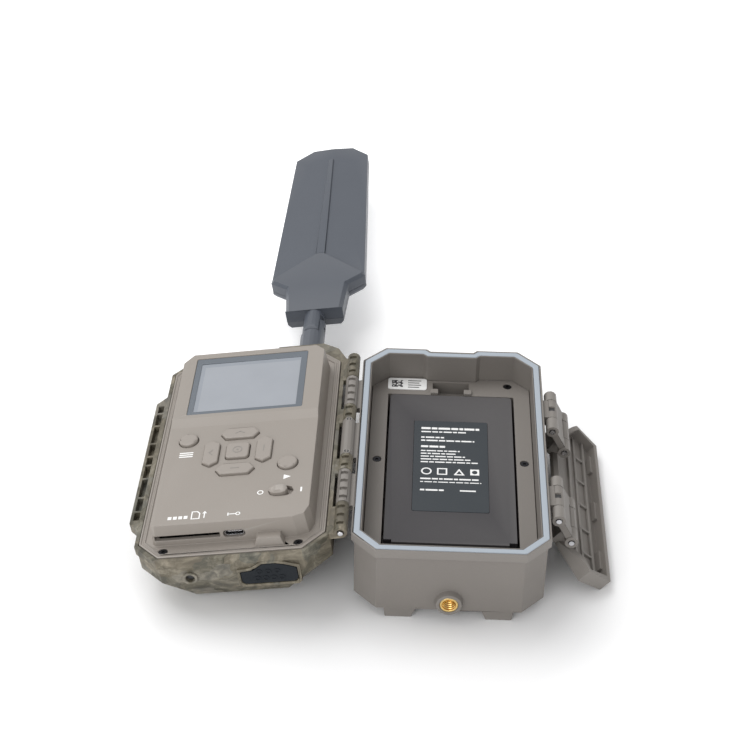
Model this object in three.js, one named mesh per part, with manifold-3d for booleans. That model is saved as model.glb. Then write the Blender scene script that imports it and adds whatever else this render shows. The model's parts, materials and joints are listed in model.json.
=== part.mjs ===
// Trail camera, opened flat: a rear case with the battery, a camera half hinged to its left edge,
// a toggle latch on its right edge and a folding paddle antenna.
// Millimetres, +Z up. The rear case lies on its strap ribs, and the long side runs along Y.
import * as THREE from 'three';
import { ConvexGeometry } from 'three/addons/geometries/ConvexGeometry.js';
import { mergeVertices } from 'three/addons/utils/BufferGeometryUtils.js';
import Module from 'manifold-3d';

// ---------------------------------------------------------------- driving dimensions

const GAP = 0.3; // clearance between pieces that touch
const SEAT = 0.1; // clearance under a piece that is glued or pressed in place

// Both halves share one rim outline: an octagon with a shallow notch in the far edge.
const BODY_WIDTH = 88;
const BODY_LENGTH = 150;
const CORNER = 11;
const NOTCH_HALF_WIDTH = 12.3;
const NOTCH_DEPTH = 1.8;
const LIP_PROUD = 1.4;
const LIP_HEIGHT = 4.5;

// Rear case
const CASE_DEPTH = 35.7;
const CASE_FLOOR = 2.4;
const RIM_WIDTH = 4.6;
const RIB_HEIGHT = 5.8;
const RIB_INNER = 14.3;
const RIB_OUTER = 28.9;
const RIB_INNER_TAPER = 2.3;
const RIB_OUTER_TAPER = 0.5;
const RIB_LENGTH = 145.4;
const STRAP_WIDTH = 26;
const STRAP_OFFSET = 38;
const STRAP_GAP = 4.6;
const STRAP_BRIDGE = 2;
const GASKET_WIDTH = 3.1;
const GASKET_DEPTH = 2;
const GASKET_INSET = 0.9;

// Battery, its bay and the deck around it
const DECK_DEPTH = 14.5;
const DECK_THICKNESS = 2;
const BATTERY_WIDTH = 60;
const BATTERY_LENGTH = 109;
const BATTERY_HEIGHT = 17.2;
const BATTERY_Y = 0.8;
const BAY_GAP = 1.1;
const BAY_WALL = 1.2;
const CONTACT_X = 18;
const LABEL_WIDTH = 35.4;
const LABEL_LENGTH = 66.5;
const LABEL_Y = 1.2;
const SERIAL_WIDTH = 19.4;
const SERIAL_LENGTH = 9.2;
const SERIAL_INSET_X = 22.2;
const SERIAL_INSET_Y = 10.6;
const LABEL_THICKNESS = 0.4;
const NOTCH_FINGER_WIDTH = 18;
const NOTCH_FINGER_DEPTH = 7;
const FINGER_LUG = 2.6;
const FINGER_LUG_LENGTH = 3.4;
const DECK_SCREW_X = 35;
const DECK_SCREW_Y = 5;
const DECK_FAR_SCREW_X = 28.4;
const DECK_FAR_SCREW_Y = 65.4;
const DECK_BOSS_RADIUS = 2.3;

// Tripod thread insert in the near wall
const INSERT_RADIUS = 4.1;
const INSERT_BORE_RADIUS = 3.1;
const INSERT_LENGTH = 7.6;
const INSERT_BOSS_RADIUS = 6.15;
const INSERT_BOSS_PROUD = 3;
const INSERT_HEIGHT = 11.5;

// Hinge along the left edge
const HINGE_OUT = 4.6;
const HINGE_RISE = 0.4;
const HINGE_RADIUS = 3.15;
const HINGE_PIN_RADIUS = 1.25;
const HINGE_ARM = 3;
const KNUCKLE_MIDDLE = 13.2;
const KNUCKLE_INNER = 24.2;
const KNUCKLE_REAR = 46.8;
const KNUCKLE_END = 65.2;
const KNUCKLE_SLOT = 1.9;
const KNUCKLE_PITCH = 5.5;

// Camera half
const HOUSING_WALL = 2.4;
const HOUSING_BREAK = 13.4;
const FACE_DEPTH = 29.5;
const FACE_WIDTH = 62;
const FACE_LENGTH = 131;
const HOOD_DEPTH = 32;
const HOOD_HALF_WIDTH = 20;
const HOOD_HALF_LENGTH = 29;
const HOOD_Y = -33;
const HOOD_FLARE = 6;
const FLANGE_DEPTH = 5.5;
const FLANGE_OUT = 4.8;
const FLANGE_NEAR = -47.4;
const FLANGE_FAR = 41;
const FLANGE_TAPER = 6.5;

// Control panel
const PANEL_BASE = 2;
const PANEL_INSET = 1.9;
const PANEL_RIB = 0.5;
const PANEL_WALL = 2;
const BLOCK_LEFT = -35.5;
const BLOCK_RIGHT = 37;
const BLOCK_NEAR = -65;
const BLOCK_FAR = 63;
const BLOCK_HEIGHT = 11;
const SCREEN_STEP = 1.5;
const STEP_NEAR = 5.2;
const STEP_FAR = 10.3;
const WINDOW_WIDTH = 55.5;
const WINDOW_LENGTH = 45;
const WINDOW_Y = 35.5;
const WINDOW_THICKNESS = 1.2;
const KEY_GAP = 0.3;
const KEY_PROUD = 1.3;
const KEY_FLANGE = 0.9;
const KEY_FLANGE_HEIGHT = 0.8;
const SWITCH_X = 22.5;
const SWITCH_Y = -46;
const SWITCH_SLOT_LENGTH = 11.3;
const SWITCH_SLOT_WIDTH = 6.4;
const SWITCH_KNOB_LENGTH = 8.4;
const SWITCH_PROUD = 2.3;
const PANEL_SCREW_INSET_X = 13.8;
const PANEL_SCREW_INSET_Y = 6.5;
const SCREW_HEAD_RADIUS = 1.9;
const SCREW_HEAD_HEIGHT = 1.2;
const SCREW_SHANK_RADIUS = 1.1;
const SCREW_LENGTH = 8;

// Sockets on the main board
const BOARD_HEIGHT = 0.6;
const BOARD_THICKNESS = 1.6;
const CARD_SLOT_X = -19.1;
const CARD_SLOT_WIDTH = 29.4;
const CARD_SLOT_HEIGHT = 2.4;
const USB_X = 2.1;
const USB_WIDTH = 9;
const USB_HEIGHT = 3.2;

// Front of the camera half
const LENS_Y = 8;
const LENS_RADIUS = 8;
const PIR_Y = -31;
const PIR_RADIUS = 14;
const PIR_RISE = 2.2;
const IR_Y = 41;
const IR_WIDTH = 50;
const IR_LENGTH = 20;

// Sockets in the near wall of the camera half
const PORT_X = 16;
const PORT_WIDTH = 25;
const PORT_DEPTH = 10.8;
const PORT_INSET = 5.6;
const PORT_PAD = 1.6;
const PLUG_THICKNESS = 2.2;
const MIC_X = -19.2;
const MIC_DEPTH = 10.8;
const MIC_RADIUS = 2.1;
const MIC_RING = 3.4;

// Latch on the right edge. The links turn on pins in the case, the lever on pins in the links.
const LATCH_OUT = 4;
const LATCH_DROP = 4.2;
const LINK_LENGTH = 14.2;
const LINK_SWING = 27.5;
const LATCH_RADIUS = 3.1;
const LATCH_PIN_RADIUS = 1.25;
const LATCH_CENTRES = [28.5, -35.5];
const LINK_NEAR = -11.8;
const LINK_FAR = 16.5;
const LATCH_MIDDLE_NEAR = -3.9;
const LATCH_MIDDLE_FAR = 9.8;
const LATCH_HOLE_Y = 2.8;
const LATCH_HOLE_SIZE = 3.2;
const LEVER_REACH = 27;
const LEVER_OFFSET = 10;
const LEVER_SKIN = 2.2;
const LEVER_FAR = 51;
const LEVER_NEAR = -55;
const LEVER_CHAMFER = 14;
const LEVER_CHAMFER_RUN = 15;
const LEVER_CORNER_RUN = 4;
const LEVER_END_TOP = -2;
const LEVER_HOOK_TOP = -3;
const CLAW_CENTRES = [32, -2.6, -37];
const CLAW_HALF_LENGTH = 6;
const CLAW_REACH = 1.6;

// Antenna on the far wall
const ANTENNA_X = 22.5;
const ANTENNA_DEPTH = 14;
const BULGE_REACH = 7;
const BULGE_WALL = 2.5;
const BULGE_POCKET = 11.4;
const SWIVEL_RADIUS = 6.35;
const STUB_RADIUS = 3.1;
const STUB_REACH = 10;
const NUT_RADIUS = 4.2;
const NUT_LENGTH = 3;
const ELBOW_REACH = 30;
const ELBOW_PIN_RADIUS = 1.5;
const EAR_THICKNESS = 2.3;
const NECK_RADIUS = 5.2;
const PADDLE_START = 13; // this and the next four are distances from the elbow
const PADDLE_SHOULDER = 37.5;
const PADDLE_WIDEST = 45;
const PADDLE_TAPER_END = 179.5;
const PADDLE_END = 191.5;
const PADDLE_NECK_WIDTH = 30.6;
const PADDLE_SHOULDER_WIDTH = 34.2;
const PADDLE_WIDTH = 51.5;
const PADDLE_TAPER_WIDTH = 43.8;
const PADDLE_TIP_WIDTH = 24;
const PADDLE_HALF_THICKNESS = 5.4;
const PADDLE_SKIN = 1.6;

const SIDES = 12; // sides of the round pieces
const FINE_SIDES = 20;

// ---------------------------------------------------------------- worked-out places

const rimHeight = CASE_DEPTH + RIB_HEIGHT;
const halfWidth = BODY_WIDTH / 2;
const halfLength = BODY_LENGTH / 2;
const hingeX = halfWidth + HINGE_OUT;
const latchX = halfWidth + LATCH_OUT;
const flangeReach = halfWidth + FLANGE_OUT;
const bulgeFar = halfLength + BULGE_REACH;
const stubFar = bulgeFar + STUB_REACH;
const elbowY = bulgeFar + ELBOW_REACH;
const paddleStart = elbowY + PADDLE_START;
const blockMiddle = (BLOCK_LEFT + BLOCK_RIGHT) / 2;
const screenHeight = BLOCK_HEIGHT + SCREEN_STEP;
const windowSeat = screenHeight - WINDOW_THICKNESS;
const boardTop = BOARD_HEIGHT + BOARD_THICKNESS;
const batteryTop = -DECK_DEPTH + 0.5;

// A body that turns about a pivot at a height comes down until its support point meets the table.
function restTilt(height, reach, drop) {
  return Math.asin(height / Math.hypot(reach, drop)) - Math.atan2(drop, reach);
}

const hingeHeight = rimHeight + HINGE_RISE;
const housingTilt = restTilt(hingeHeight, hingeX + HOOD_HALF_WIDTH, HOOD_DEPTH + HINGE_RISE);
const linkSwing = THREE.MathUtils.degToRad(LINK_SWING);
const leverX = latchX + LINK_LENGTH * Math.sin(linkSwing);
const leverHeight = rimHeight - LATCH_DROP - LINK_LENGTH * Math.cos(linkSwing);
const leverTilt = restTilt(leverHeight, LEVER_REACH, LEVER_OFFSET);

// ---------------------------------------------------------------- solids

const wasm = await Module();
wasm.setup();

function solid(geometry) {
  const bare = geometry.clone();
  bare.deleteAttribute('normal');
  bare.deleteAttribute('uv');
  const merged = mergeVertices(bare, 1e-4);
  return new wasm.Manifold(new wasm.Mesh({
    numProp: 3,
    vertProperties: new Float32Array(merged.attributes.position.array),
    triVerts: Uint32Array.from(merged.index.array),
  }));
}

function box(x, y, z) {
  const geometry = new THREE.BoxGeometry(x[1] - x[0], y[1] - y[0], z[1] - z[0]);
  return solid(geometry.translate((x[0] + x[1]) / 2, (y[0] + y[1]) / 2, (z[0] + z[1]) / 2));
}

// A range of x on one side of the middle, lowest first
function across(side, inner, outer) {
  return side > 0 ? [inner, outer] : [-outer, -inner];
}

function outlineShape(points) {
  return new THREE.Shape(points.map(([x, y]) => new THREE.Vector2(x, y)));
}

// An outline in X and Y, raised along Z
function prism(points, low, high) {
  const options = { depth: high - low, bevelEnabled: false, curveSegments: 8 };
  return solid(new THREE.ExtrudeGeometry(outlineShape(points), options).translate(0, 0, low));
}

// An outline in X and Z, carried along Y
function prismY(points, near, far) {
  const options = { depth: far - near, bevelEnabled: false };
  const geometry = new THREE.ExtrudeGeometry(outlineShape(points.map(([x, z]) => [x, -z])), options);
  return solid(geometry.rotateX(-Math.PI / 2).translate(0, near, 0));
}

// An outline in Y and Z, carried along X
function prismX(points, low, high) {
  const options = { depth: high - low, bevelEnabled: false };
  const geometry = new THREE.ExtrudeGeometry(outlineShape(points), options);
  return solid(geometry.rotateX(Math.PI / 2).rotateZ(Math.PI / 2).translate(low, 0, 0));
}

function cylinderZ(x, y, radius, low, high, sides = SIDES, topRadius = radius) {
  const geometry = new THREE.CylinderGeometry(topRadius, radius, high - low, sides);
  return solid(geometry.rotateX(Math.PI / 2).translate(x, y, (low + high) / 2));
}

function cylinderY(x, z, radius, near, far, sides = SIDES, farRadius = radius) {
  const geometry = new THREE.CylinderGeometry(farRadius, radius, far - near, sides);
  return solid(geometry.translate(x, (near + far) / 2, z));
}

function cylinderX(y, z, radius, low, high, sides = SIDES) {
  const geometry = new THREE.CylinderGeometry(radius, radius, high - low, sides);
  return solid(geometry.rotateZ(Math.PI / 2).translate((low + high) / 2, y, z));
}

// The convex body between outlines at different heights: layers of [points, z]
function loft(...layers) {
  const corners = layers.flatMap(([points, z]) => points.map(([x, y]) => new THREE.Vector3(x, y, z)));
  return solid(new ConvexGeometry(corners));
}

function octagon(halfX, halfY, corner, x = 0, y = 0) {
  return [
    [x + halfX, y - halfY + corner], [x + halfX, y + halfY - corner],
    [x + halfX - corner, y + halfY], [x - halfX + corner, y + halfY],
    [x - halfX, y + halfY - corner], [x - halfX, y - halfY + corner],
    [x - halfX + corner, y - halfY], [x + halfX - corner, y - halfY],
  ];
}

// The rim outline, moved inwards by a distance; chamfered corners keep an even band width.
function rimOutline(inset) {
  const x = halfWidth - inset;
  const y = halfLength - inset;
  const corner = CORNER - inset * (2 - Math.SQRT2);
  const notch = NOTCH_HALF_WIDTH + inset * 0.4;
  return [
    [x, -y + corner], [x, y - corner], [x - corner, y],
    [notch, y], [notch - NOTCH_DEPTH, y - NOTCH_DEPTH],
    [-notch + NOTCH_DEPTH, y - NOTCH_DEPTH], [-notch, y],
    [-x + corner, y], [-x, y - corner], [-x, -y + corner],
    [-x + corner, -y], [x - corner, -y],
  ];
}

function roundedRect(width, length, radius, x = 0, y = 0, steps = 2) {
  const points = [];
  for (let quarter = 0; quarter < 4; quarter += 1) {
    const signX = quarter === 0 || quarter === 3 ? 1 : -1;
    const signY = quarter < 2 ? 1 : -1;
    for (let step = 0; step <= steps; step += 1) {
      const angle = (quarter + step / steps) * Math.PI / 2;
      points.push([
        x + signX * (width / 2 - radius) + radius * Math.cos(angle),
        y + signY * (length / 2 - radius) + radius * Math.sin(angle),
      ]);
    }
  }
  return points;
}

// ---------------------------------------------------------------- meshes and their groups

const rear = new THREE.Group();
const housingPivot = new THREE.Group();
const housing = new THREE.Group();
const linkGroup = new THREE.Group();
const leverGroup = new THREE.Group();

rear.position.z = rimHeight;
housingPivot.position.set(-hingeX, 0, hingeHeight);
housingPivot.rotation.y = -housingTilt;
housing.position.set(-hingeX, 0, -HINGE_RISE);
housingPivot.add(housing);
linkGroup.position.set(latchX, 0, rimHeight - LATCH_DROP);
linkGroup.rotation.y = -linkSwing;
leverGroup.position.set(leverX, 0, leverHeight);
leverGroup.rotation.y = leverTilt;

function piece(group, name, body, color, roughness = 0.6, metalness = 0) {
  const made = body.getMesh();
  const geometry = new THREE.BufferGeometry();
  geometry.setAttribute('position', new THREE.BufferAttribute(made.vertProperties, 3));
  geometry.setIndex(new THREE.BufferAttribute(made.triVerts, 1));
  const material = new THREE.MeshStandardMaterial({ color, roughness, metalness });
  const mesh = new THREE.Mesh(geometry, material);
  mesh.name = name;
  group.add(mesh);
}

const TAUPE = 0xa69c94;
const CASE_TAUPE = 0x87837c;
const CAMO = 0x8b8770;
const GASKET_GREY = 0xafb9c3;
const BATTERY_GREY = 0x4b484b;
const LABEL_SLATE = 0x42484e;
const SLATE = 0x4c525b;
const STEEL = 0xb9bcc0;
const BRASS = 0xd9a441;
const BLACK = 0x1b1c1e;
const BOARD_GREEN = 0x2c5a3c;

// ---------------------------------------------------------------- hinge

// Knuckles from one y to another, with an arm to the half that they belong to.
// side is 1 when that half lies on the +X side of the pin.
function knuckle(near, far, side, pinX, rise) {
  const wall = pinX + side * (hingeX - halfWidth + 0.5);
  const arm = box([Math.min(pinX, wall), Math.max(pinX, wall)], [near, far], [rise - HINGE_ARM, rise]);
  return cylinderY(pinX, rise, HINGE_RADIUS, near, far).add(arm);
}

// A row of shallow core-out slots across the knuckle, counted from its middle
function knuckleSlots(near, far, count, pinX, rise) {
  return Array.from({ length: count }, (_, i) => {
    const y = (near + far) / 2 + (i - (count - 1) / 2) * KNUCKLE_PITCH;
    return box(
      [pinX - 1.6, pinX + 1.6],
      [y - KNUCKLE_SLOT / 2, y + KNUCKLE_SLOT / 2],
      [rise + HINGE_PIN_RADIUS + 0.5, rise + HINGE_RADIUS + 1],
    );
  });
}

function addKnuckles(body, spans, side, pinX, rise) {
  let result = body;
  for (const [near, far] of spans) {
    result = result.add(knuckle(near, far, side, pinX, rise));
  }
  for (const [near, far, slotCount] of spans) {
    for (const slot of knuckleSlots(near, far, slotCount, pinX, rise)) {
      result = result.subtract(slot);
    }
  }
  const bore = cylinderY(pinX, rise, HINGE_PIN_RADIUS + GAP, -KNUCKLE_END - 1, KNUCKLE_END + 1);
  return result.subtract(bore);
}

function mirroredSpans(near, far, slotCount) {
  return [[near, far, slotCount], [-far, -near, slotCount]];
}

const rearSpans = [
  [-KNUCKLE_MIDDLE + GAP / 2, KNUCKLE_MIDDLE - GAP / 2, 0],
  ...mirroredSpans(KNUCKLE_INNER + GAP / 2, KNUCKLE_REAR - GAP / 2, 4),
];
const frontSpans = [
  ...mirroredSpans(KNUCKLE_MIDDLE + GAP / 2, KNUCKLE_INNER - GAP / 2, 2),
  ...mirroredSpans(KNUCKLE_REAR + GAP / 2, KNUCKLE_END, 3),
];

piece(rear, 'hinge_pin', cylinderY(
  -hingeX, HINGE_RISE, HINGE_PIN_RADIUS, -KNUCKLE_END - 0.8, KNUCKLE_END - 0.5,
), STEEL, 0.3, 1);

// ---------------------------------------------------------------- screws

const SCREW_POCKET = 1.6;

function screw(x, y, headTop) {
  const head = cylinderZ(x, y, SCREW_HEAD_RADIUS, headTop - SCREW_HEAD_HEIGHT, headTop);
  const socket = cylinderZ(x, y, 0.9, headTop - 0.8, headTop + 1, 6);
  const shank = cylinderZ(x, y, SCREW_SHANK_RADIUS, headTop - SCREW_LENGTH, headTop - 0.5, 12);
  return head.subtract(socket).add(shank);
}

// The counterbore and clearance hole for a screw whose head sits just below the surface
function screwHole(x, y, surface) {
  const counterbore = cylinderZ(x, y, SCREW_HEAD_RADIUS + GAP, surface - SCREW_POCKET, surface + 1);
  return counterbore.add(cylinderZ(x, y, SCREW_SHANK_RADIUS + GAP, surface - 40, surface, 12));
}

// ---------------------------------------------------------------- rear case

const deckScrews = [
  [DECK_SCREW_X, DECK_SCREW_Y],
  [-DECK_SCREW_X, DECK_SCREW_Y],
  [DECK_FAR_SCREW_X, DECK_FAR_SCREW_Y],
  [-DECK_FAR_SCREW_X, DECK_FAR_SCREW_Y],
];
const deckBottom = -DECK_DEPTH - DECK_THICKNESS;
const bayFloor = batteryTop - BATTERY_HEIGHT - GAP;
const insertHeight = INSERT_HEIGHT - rimHeight;
const nearWall = -halfLength + LIP_PROUD;
const insertMouth = nearWall - INSERT_BOSS_PROUD;

// Both strap ribs stand on the back of the case and narrow towards the ground.
function strapRib(side) {
  const foot = -CASE_DEPTH - RIB_HEIGHT;
  const profile = [
    [side * RIB_INNER, -CASE_DEPTH + 1], [side * RIB_INNER, -CASE_DEPTH],
    [side * (RIB_INNER + RIB_INNER_TAPER), foot], [side * (RIB_OUTER - RIB_OUTER_TAPER), foot],
    [side * RIB_OUTER, -CASE_DEPTH], [side * RIB_OUTER, -CASE_DEPTH + 1],
  ];
  return prismY(profile, -RIB_LENGTH / 2, RIB_LENGTH / 2);
}

function strapSlot(side, y) {
  const low = -CASE_DEPTH - RIB_HEIGHT + STRAP_BRIDGE;
  const half = STRAP_WIDTH / 2;
  return box(across(side, RIB_INNER - 1, RIB_OUTER + 1), [y - half, y + half], [low, low + STRAP_GAP]);
}

function latchKnuckle(y0) {
  const near = y0 + LATCH_MIDDLE_NEAR + GAP / 2;
  const far = y0 + LATCH_MIDDLE_FAR - GAP / 2;
  const wall = halfWidth - 0.5;
  const arm = box([wall, latchX], [near, far], [-LATCH_DROP - 2.6, -LATCH_DROP + 2.6]);
  const half = LATCH_HOLE_SIZE / 2;
  const squareHole = box(
    [latchX - half, latchX + half],
    [y0 + LATCH_HOLE_Y - half, y0 + LATCH_HOLE_Y + half],
    [-LATCH_DROP + LATCH_PIN_RADIUS + 0.6, -LATCH_DROP + 5],
  );
  const barrel = cylinderY(latchX, -LATCH_DROP, LATCH_RADIUS, near, far);
  return barrel.add(arm).subtract(squareHole);
}

function rearCase() {
  let body = prism(rimOutline(LIP_PROUD), -CASE_DEPTH, -LIP_HEIGHT + 1);
  body = body.add(prism(rimOutline(0), -LIP_HEIGHT, 0));
  for (const side of [-1, 1]) {
    body = body.add(strapRib(side));
  }
  body = body.add(cylinderY(
    0, insertHeight, INSERT_BOSS_RADIUS - 0.4, insertMouth, nearWall + 1,
    FINE_SIDES, INSERT_BOSS_RADIUS + 0.5,
  ));
  body = body.subtract(prism(rimOutline(RIM_WIDTH), -CASE_DEPTH + CASE_FLOOR, 1));
  body = body.add(box([-8, 8], [nearWall + 2, nearWall + 7.5], [-CASE_DEPTH + 1, insertHeight + 7]));
  for (const [x, y] of deckScrews) {
    const boss = cylinderZ(x, y, DECK_BOSS_RADIUS, -CASE_DEPTH + 1, deckBottom - SEAT, 12);
    const webEnd = Math.abs(y) > 40 ? [x, halfLength - 4] : [Math.sign(x) * (halfWidth - 4), y];
    const web = box(
      [Math.min(x, webEnd[0]) - 0.8, Math.max(x, webEnd[0]) + 0.8],
      [Math.min(y, webEnd[1]) - 0.8, Math.max(y, webEnd[1]) + 0.8],
      [-CASE_DEPTH + 1, deckBottom - SEAT],
    );
    body = body.add(boss).add(web);
    body = body.subtract(cylinderZ(
      x, y, SCREW_SHANK_RADIUS + GAP, deckBottom - SCREW_LENGTH, deckBottom + 1, 12,
    ));
  }
  const groove = prism(rimOutline(GASKET_INSET), -GASKET_DEPTH, 1)
    .subtract(prism(rimOutline(GASKET_INSET + GASKET_WIDTH), -GASKET_DEPTH - 1, 2));
  body = body.subtract(groove);
  body = body.subtract(cylinderY(
    0, insertHeight, INSERT_RADIUS + SEAT, insertMouth - 1, insertMouth + INSERT_LENGTH + GAP, FINE_SIDES,
  ));
  for (const side of [-1, 1]) {
    for (const y of [-STRAP_OFFSET, STRAP_OFFSET]) {
      body = body.subtract(strapSlot(side, y));
    }
  }
  for (const y0 of LATCH_CENTRES) {
    body = body.add(latchKnuckle(y0));
  }
  body = body.subtract(cylinderY(latchX, -LATCH_DROP, LATCH_PIN_RADIUS + GAP, -halfLength, halfLength));
  return addKnuckles(body, rearSpans, 1, -hingeX, HINGE_RISE);
}

piece(rear, 'rear_case', rearCase(), CASE_TAUPE);

piece(rear, 'rim_gasket', prism(rimOutline(GASKET_INSET + SEAT), -GASKET_DEPTH + SEAT, 0.1)
  .subtract(prism(rimOutline(GASKET_INSET + GASKET_WIDTH - SEAT), -GASKET_DEPTH - 1, 1)), GASKET_GREY, 0.7);

function tripodInsert() {
  const near = insertMouth + 0.3;
  const far = insertMouth + INSERT_LENGTH;
  const sleeve = cylinderY(0, insertHeight, INSERT_RADIUS, near, far, FINE_SIDES);
  return sleeve.subtract(cylinderY(0, insertHeight, INSERT_BORE_RADIUS, near - 1, far - 0.8, FINE_SIDES));
}

piece(rear, 'tripod_insert', tripodInsert(), BRASS, 0.3, 1);

// ---------------------------------------------------------------- battery and its liner

function batteryLiner() {
  const near = BATTERY_Y - BATTERY_LENGTH / 2 - BAY_GAP;
  const far = BATTERY_Y + BATTERY_LENGTH / 2 + BAY_GAP;
  const bayX = BATTERY_WIDTH / 2 + BAY_GAP;
  let body = prism(rimOutline(RIM_WIDTH + GAP), deckBottom, -DECK_DEPTH);
  body = body.add(box(
    [-bayX - BAY_WALL, bayX + BAY_WALL],
    [near - BAY_WALL, far + BAY_WALL],
    [bayFloor - BAY_WALL, -DECK_DEPTH - 0.5],
  ));
  const fingerX = NOTCH_FINGER_WIDTH / 2;
  const fingerFar = far + 10.5;
  body = body.add(box(
    [-fingerX - BAY_WALL, fingerX + BAY_WALL],
    [far, fingerFar + BAY_WALL],
    [-DECK_DEPTH - NOTCH_FINGER_DEPTH - BAY_WALL, -DECK_DEPTH - 0.5],
  ));
  for (const side of [-1, 1]) {
    body = body.add(box(
      across(side, fingerX - FINGER_LUG, fingerX + BAY_WALL),
      [far, far + FINGER_LUG_LENGTH],
      [-DECK_DEPTH - 5, -DECK_DEPTH + 1.4],
    ));
  }
  body = body.subtract(box([-bayX, bayX], [near, far], [bayFloor, 5]));
  body = body.subtract(box(
    [-fingerX + FINGER_LUG, fingerX - FINGER_LUG], [far - 1, far + 4], [-DECK_DEPTH - NOTCH_FINGER_DEPTH, 5],
  ));
  body = body.subtract(box(
    [-fingerX, fingerX], [far + FINGER_LUG_LENGTH, fingerFar], [-DECK_DEPTH - NOTCH_FINGER_DEPTH, 5],
  ));
  for (const [x, y] of deckScrews) {
    body = body.subtract(screwHole(x, y, -DECK_DEPTH));
  }
  return body;
}

piece(rear, 'battery_liner', batteryLiner(), CASE_TAUPE);

deckScrews.forEach(([x, y], i) => {
  const headTop = -DECK_DEPTH - SCREW_POCKET + SCREW_HEAD_HEIGHT + SEAT;
  piece(rear, `liner_screw_${i + 1}`, screw(x, y, headTop), BLACK, 0.4, 0.8);
});

function batteryPack() {
  const x = BATTERY_WIDTH / 2;
  const near = BATTERY_Y - BATTERY_LENGTH / 2;
  const far = BATTERY_Y + BATTERY_LENGTH / 2;
  const bottom = batteryTop - BATTERY_HEIGHT;
  let body = prism(roundedRect(BATTERY_WIDTH, BATTERY_LENGTH, 1.5, 0, BATTERY_Y), bottom, batteryTop);
  for (const side of [-1, 1]) {
    body = body.subtract(box(
      across(side, x - 3.5, x + 0.5),
      [near - 1, near + 1.6],
      [bottom - 1, batteryTop + 1],
    ));
    body = body.subtract(box(
      [side * CONTACT_X - 4.5, side * CONTACT_X + 4.5],
      [near - 1, near + 0.8],
      [bottom + 3, bottom + 12],
    ));
  }
  body = body.subtract(prism(
    roundedRect(LABEL_WIDTH + 2 * SEAT, LABEL_LENGTH + 2 * SEAT, 0.8, 0, LABEL_Y),
    batteryTop - LABEL_THICKNESS,
    batteryTop + 1,
  ));
  return body.subtract(box([-4.8, 4.8], [far - 5, far + 1], [batteryTop - 7.5, batteryTop - 4]));
}

piece(rear, 'battery_pack', batteryPack(), BATTERY_GREY, 0.55);

piece(rear, 'battery_label', prism(
  roundedRect(LABEL_WIDTH, LABEL_LENGTH, 0.8, 0, LABEL_Y),
  batteryTop - LABEL_THICKNESS + SEAT,
  batteryTop + 0.05,
), LABEL_SLATE, 0.45);

piece(rear, 'serial_label', prism(
  roundedRect(SERIAL_WIDTH, SERIAL_LENGTH, 1.2, -halfWidth + SERIAL_INSET_X, halfLength - SERIAL_INSET_Y),
  -DECK_DEPTH + 0.05,
  -DECK_DEPTH + 0.4,
), 0xe8e8e6, 0.6);

// A spring contact: a foot on the liner wall and a bowed blade that meets the battery's pad
for (const [name, x] of [['battery_contact_left', -CONTACT_X], ['battery_contact_right', CONTACT_X]]) {
  const wall = BATTERY_Y - BATTERY_LENGTH / 2 - BAY_GAP;
  const low = batteryTop - BATTERY_HEIGHT + 4;
  const bow = wall + BAY_GAP - GAP;
  const profile = [
    [wall + 0.1, low], [wall + 0.4, low], [bow, low + 3.5], [wall + 0.4, low + 7],
    [wall + 0.1, low + 7], [bow - 0.3, low + 3.5],
  ];
  piece(rear, name, prismX(profile, x - 3, x + 3), BRASS, 0.35, 1);
}

// ---------------------------------------------------------------- camera half: outer housing

const panelScrewX = halfWidth - PANEL_SCREW_INSET_X;
const panelScrewY = halfLength - PANEL_SCREW_INSET_Y;
const panelScrews = [
  [panelScrewX, -panelScrewY],
  [-panelScrewX, -panelScrewY],
  [panelScrewX, panelScrewY],
  [-panelScrewX, panelScrewY],
];
const portCentre = -PORT_INSET - PORT_DEPTH / 2;
const portFace = -halfLength - 0.4;

function portOutline(grow, u = PORT_X) {
  const half = PORT_WIDTH / 2 + grow;
  const low = portCentre - PORT_DEPTH / 2 - grow;
  const high = portCentre + PORT_DEPTH / 2 + grow;
  return [
    [u - half + 1.5, low], [u + half - 1.5, low], [u + half, low + 1.5], [u + half, high - 3],
    [u + half * 0.55, high - 0.8], [u + half * 0.3, high], [u - half * 0.2, high],
    [u - half * 0.55, high - 3.2], [u - half, high - 4], [u - half, low + 1.5],
  ];
}

function catchFlange() {
  const root = -halfWidth + 1;
  const outline = [
    [root, FLANGE_NEAR - FLANGE_TAPER], [root, FLANGE_FAR + FLANGE_TAPER],
    [-flangeReach, FLANGE_FAR], [-flangeReach, FLANGE_NEAR],
  ];
  let body = prism(outline, -FLANGE_DEPTH, -0.4);
  const widths = [4, 6.5, 9.5, 6.5, 4, 6.5, 9.5, 6.5, 4];
  const total = widths.reduce((sum, width) => sum + width, 0);
  const run = FLANGE_FAR - FLANGE_NEAR - 4;
  const web = 1.3;
  const scale = (run - web * (widths.length - 1)) / total;
  let y = FLANGE_NEAR + 2;
  for (const width of widths) {
    const length = width * scale;
    body = body.subtract(box([-flangeReach + 1.5, -halfWidth - 0.6], [y, y + length], [-3.8, 1]));
    y += length + web;
  }
  return body;
}

// Room for the connector's nut behind the bulge's far face
function connectorPocket() {
  const half = BULGE_POCKET / 2;
  return box(
    [ANTENNA_X - half, ANTENNA_X + half],
    [halfLength - 15, bulgeFar - BULGE_WALL],
    [-ANTENNA_DEPTH - half, -ANTENNA_DEPTH + half],
  );
}

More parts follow.
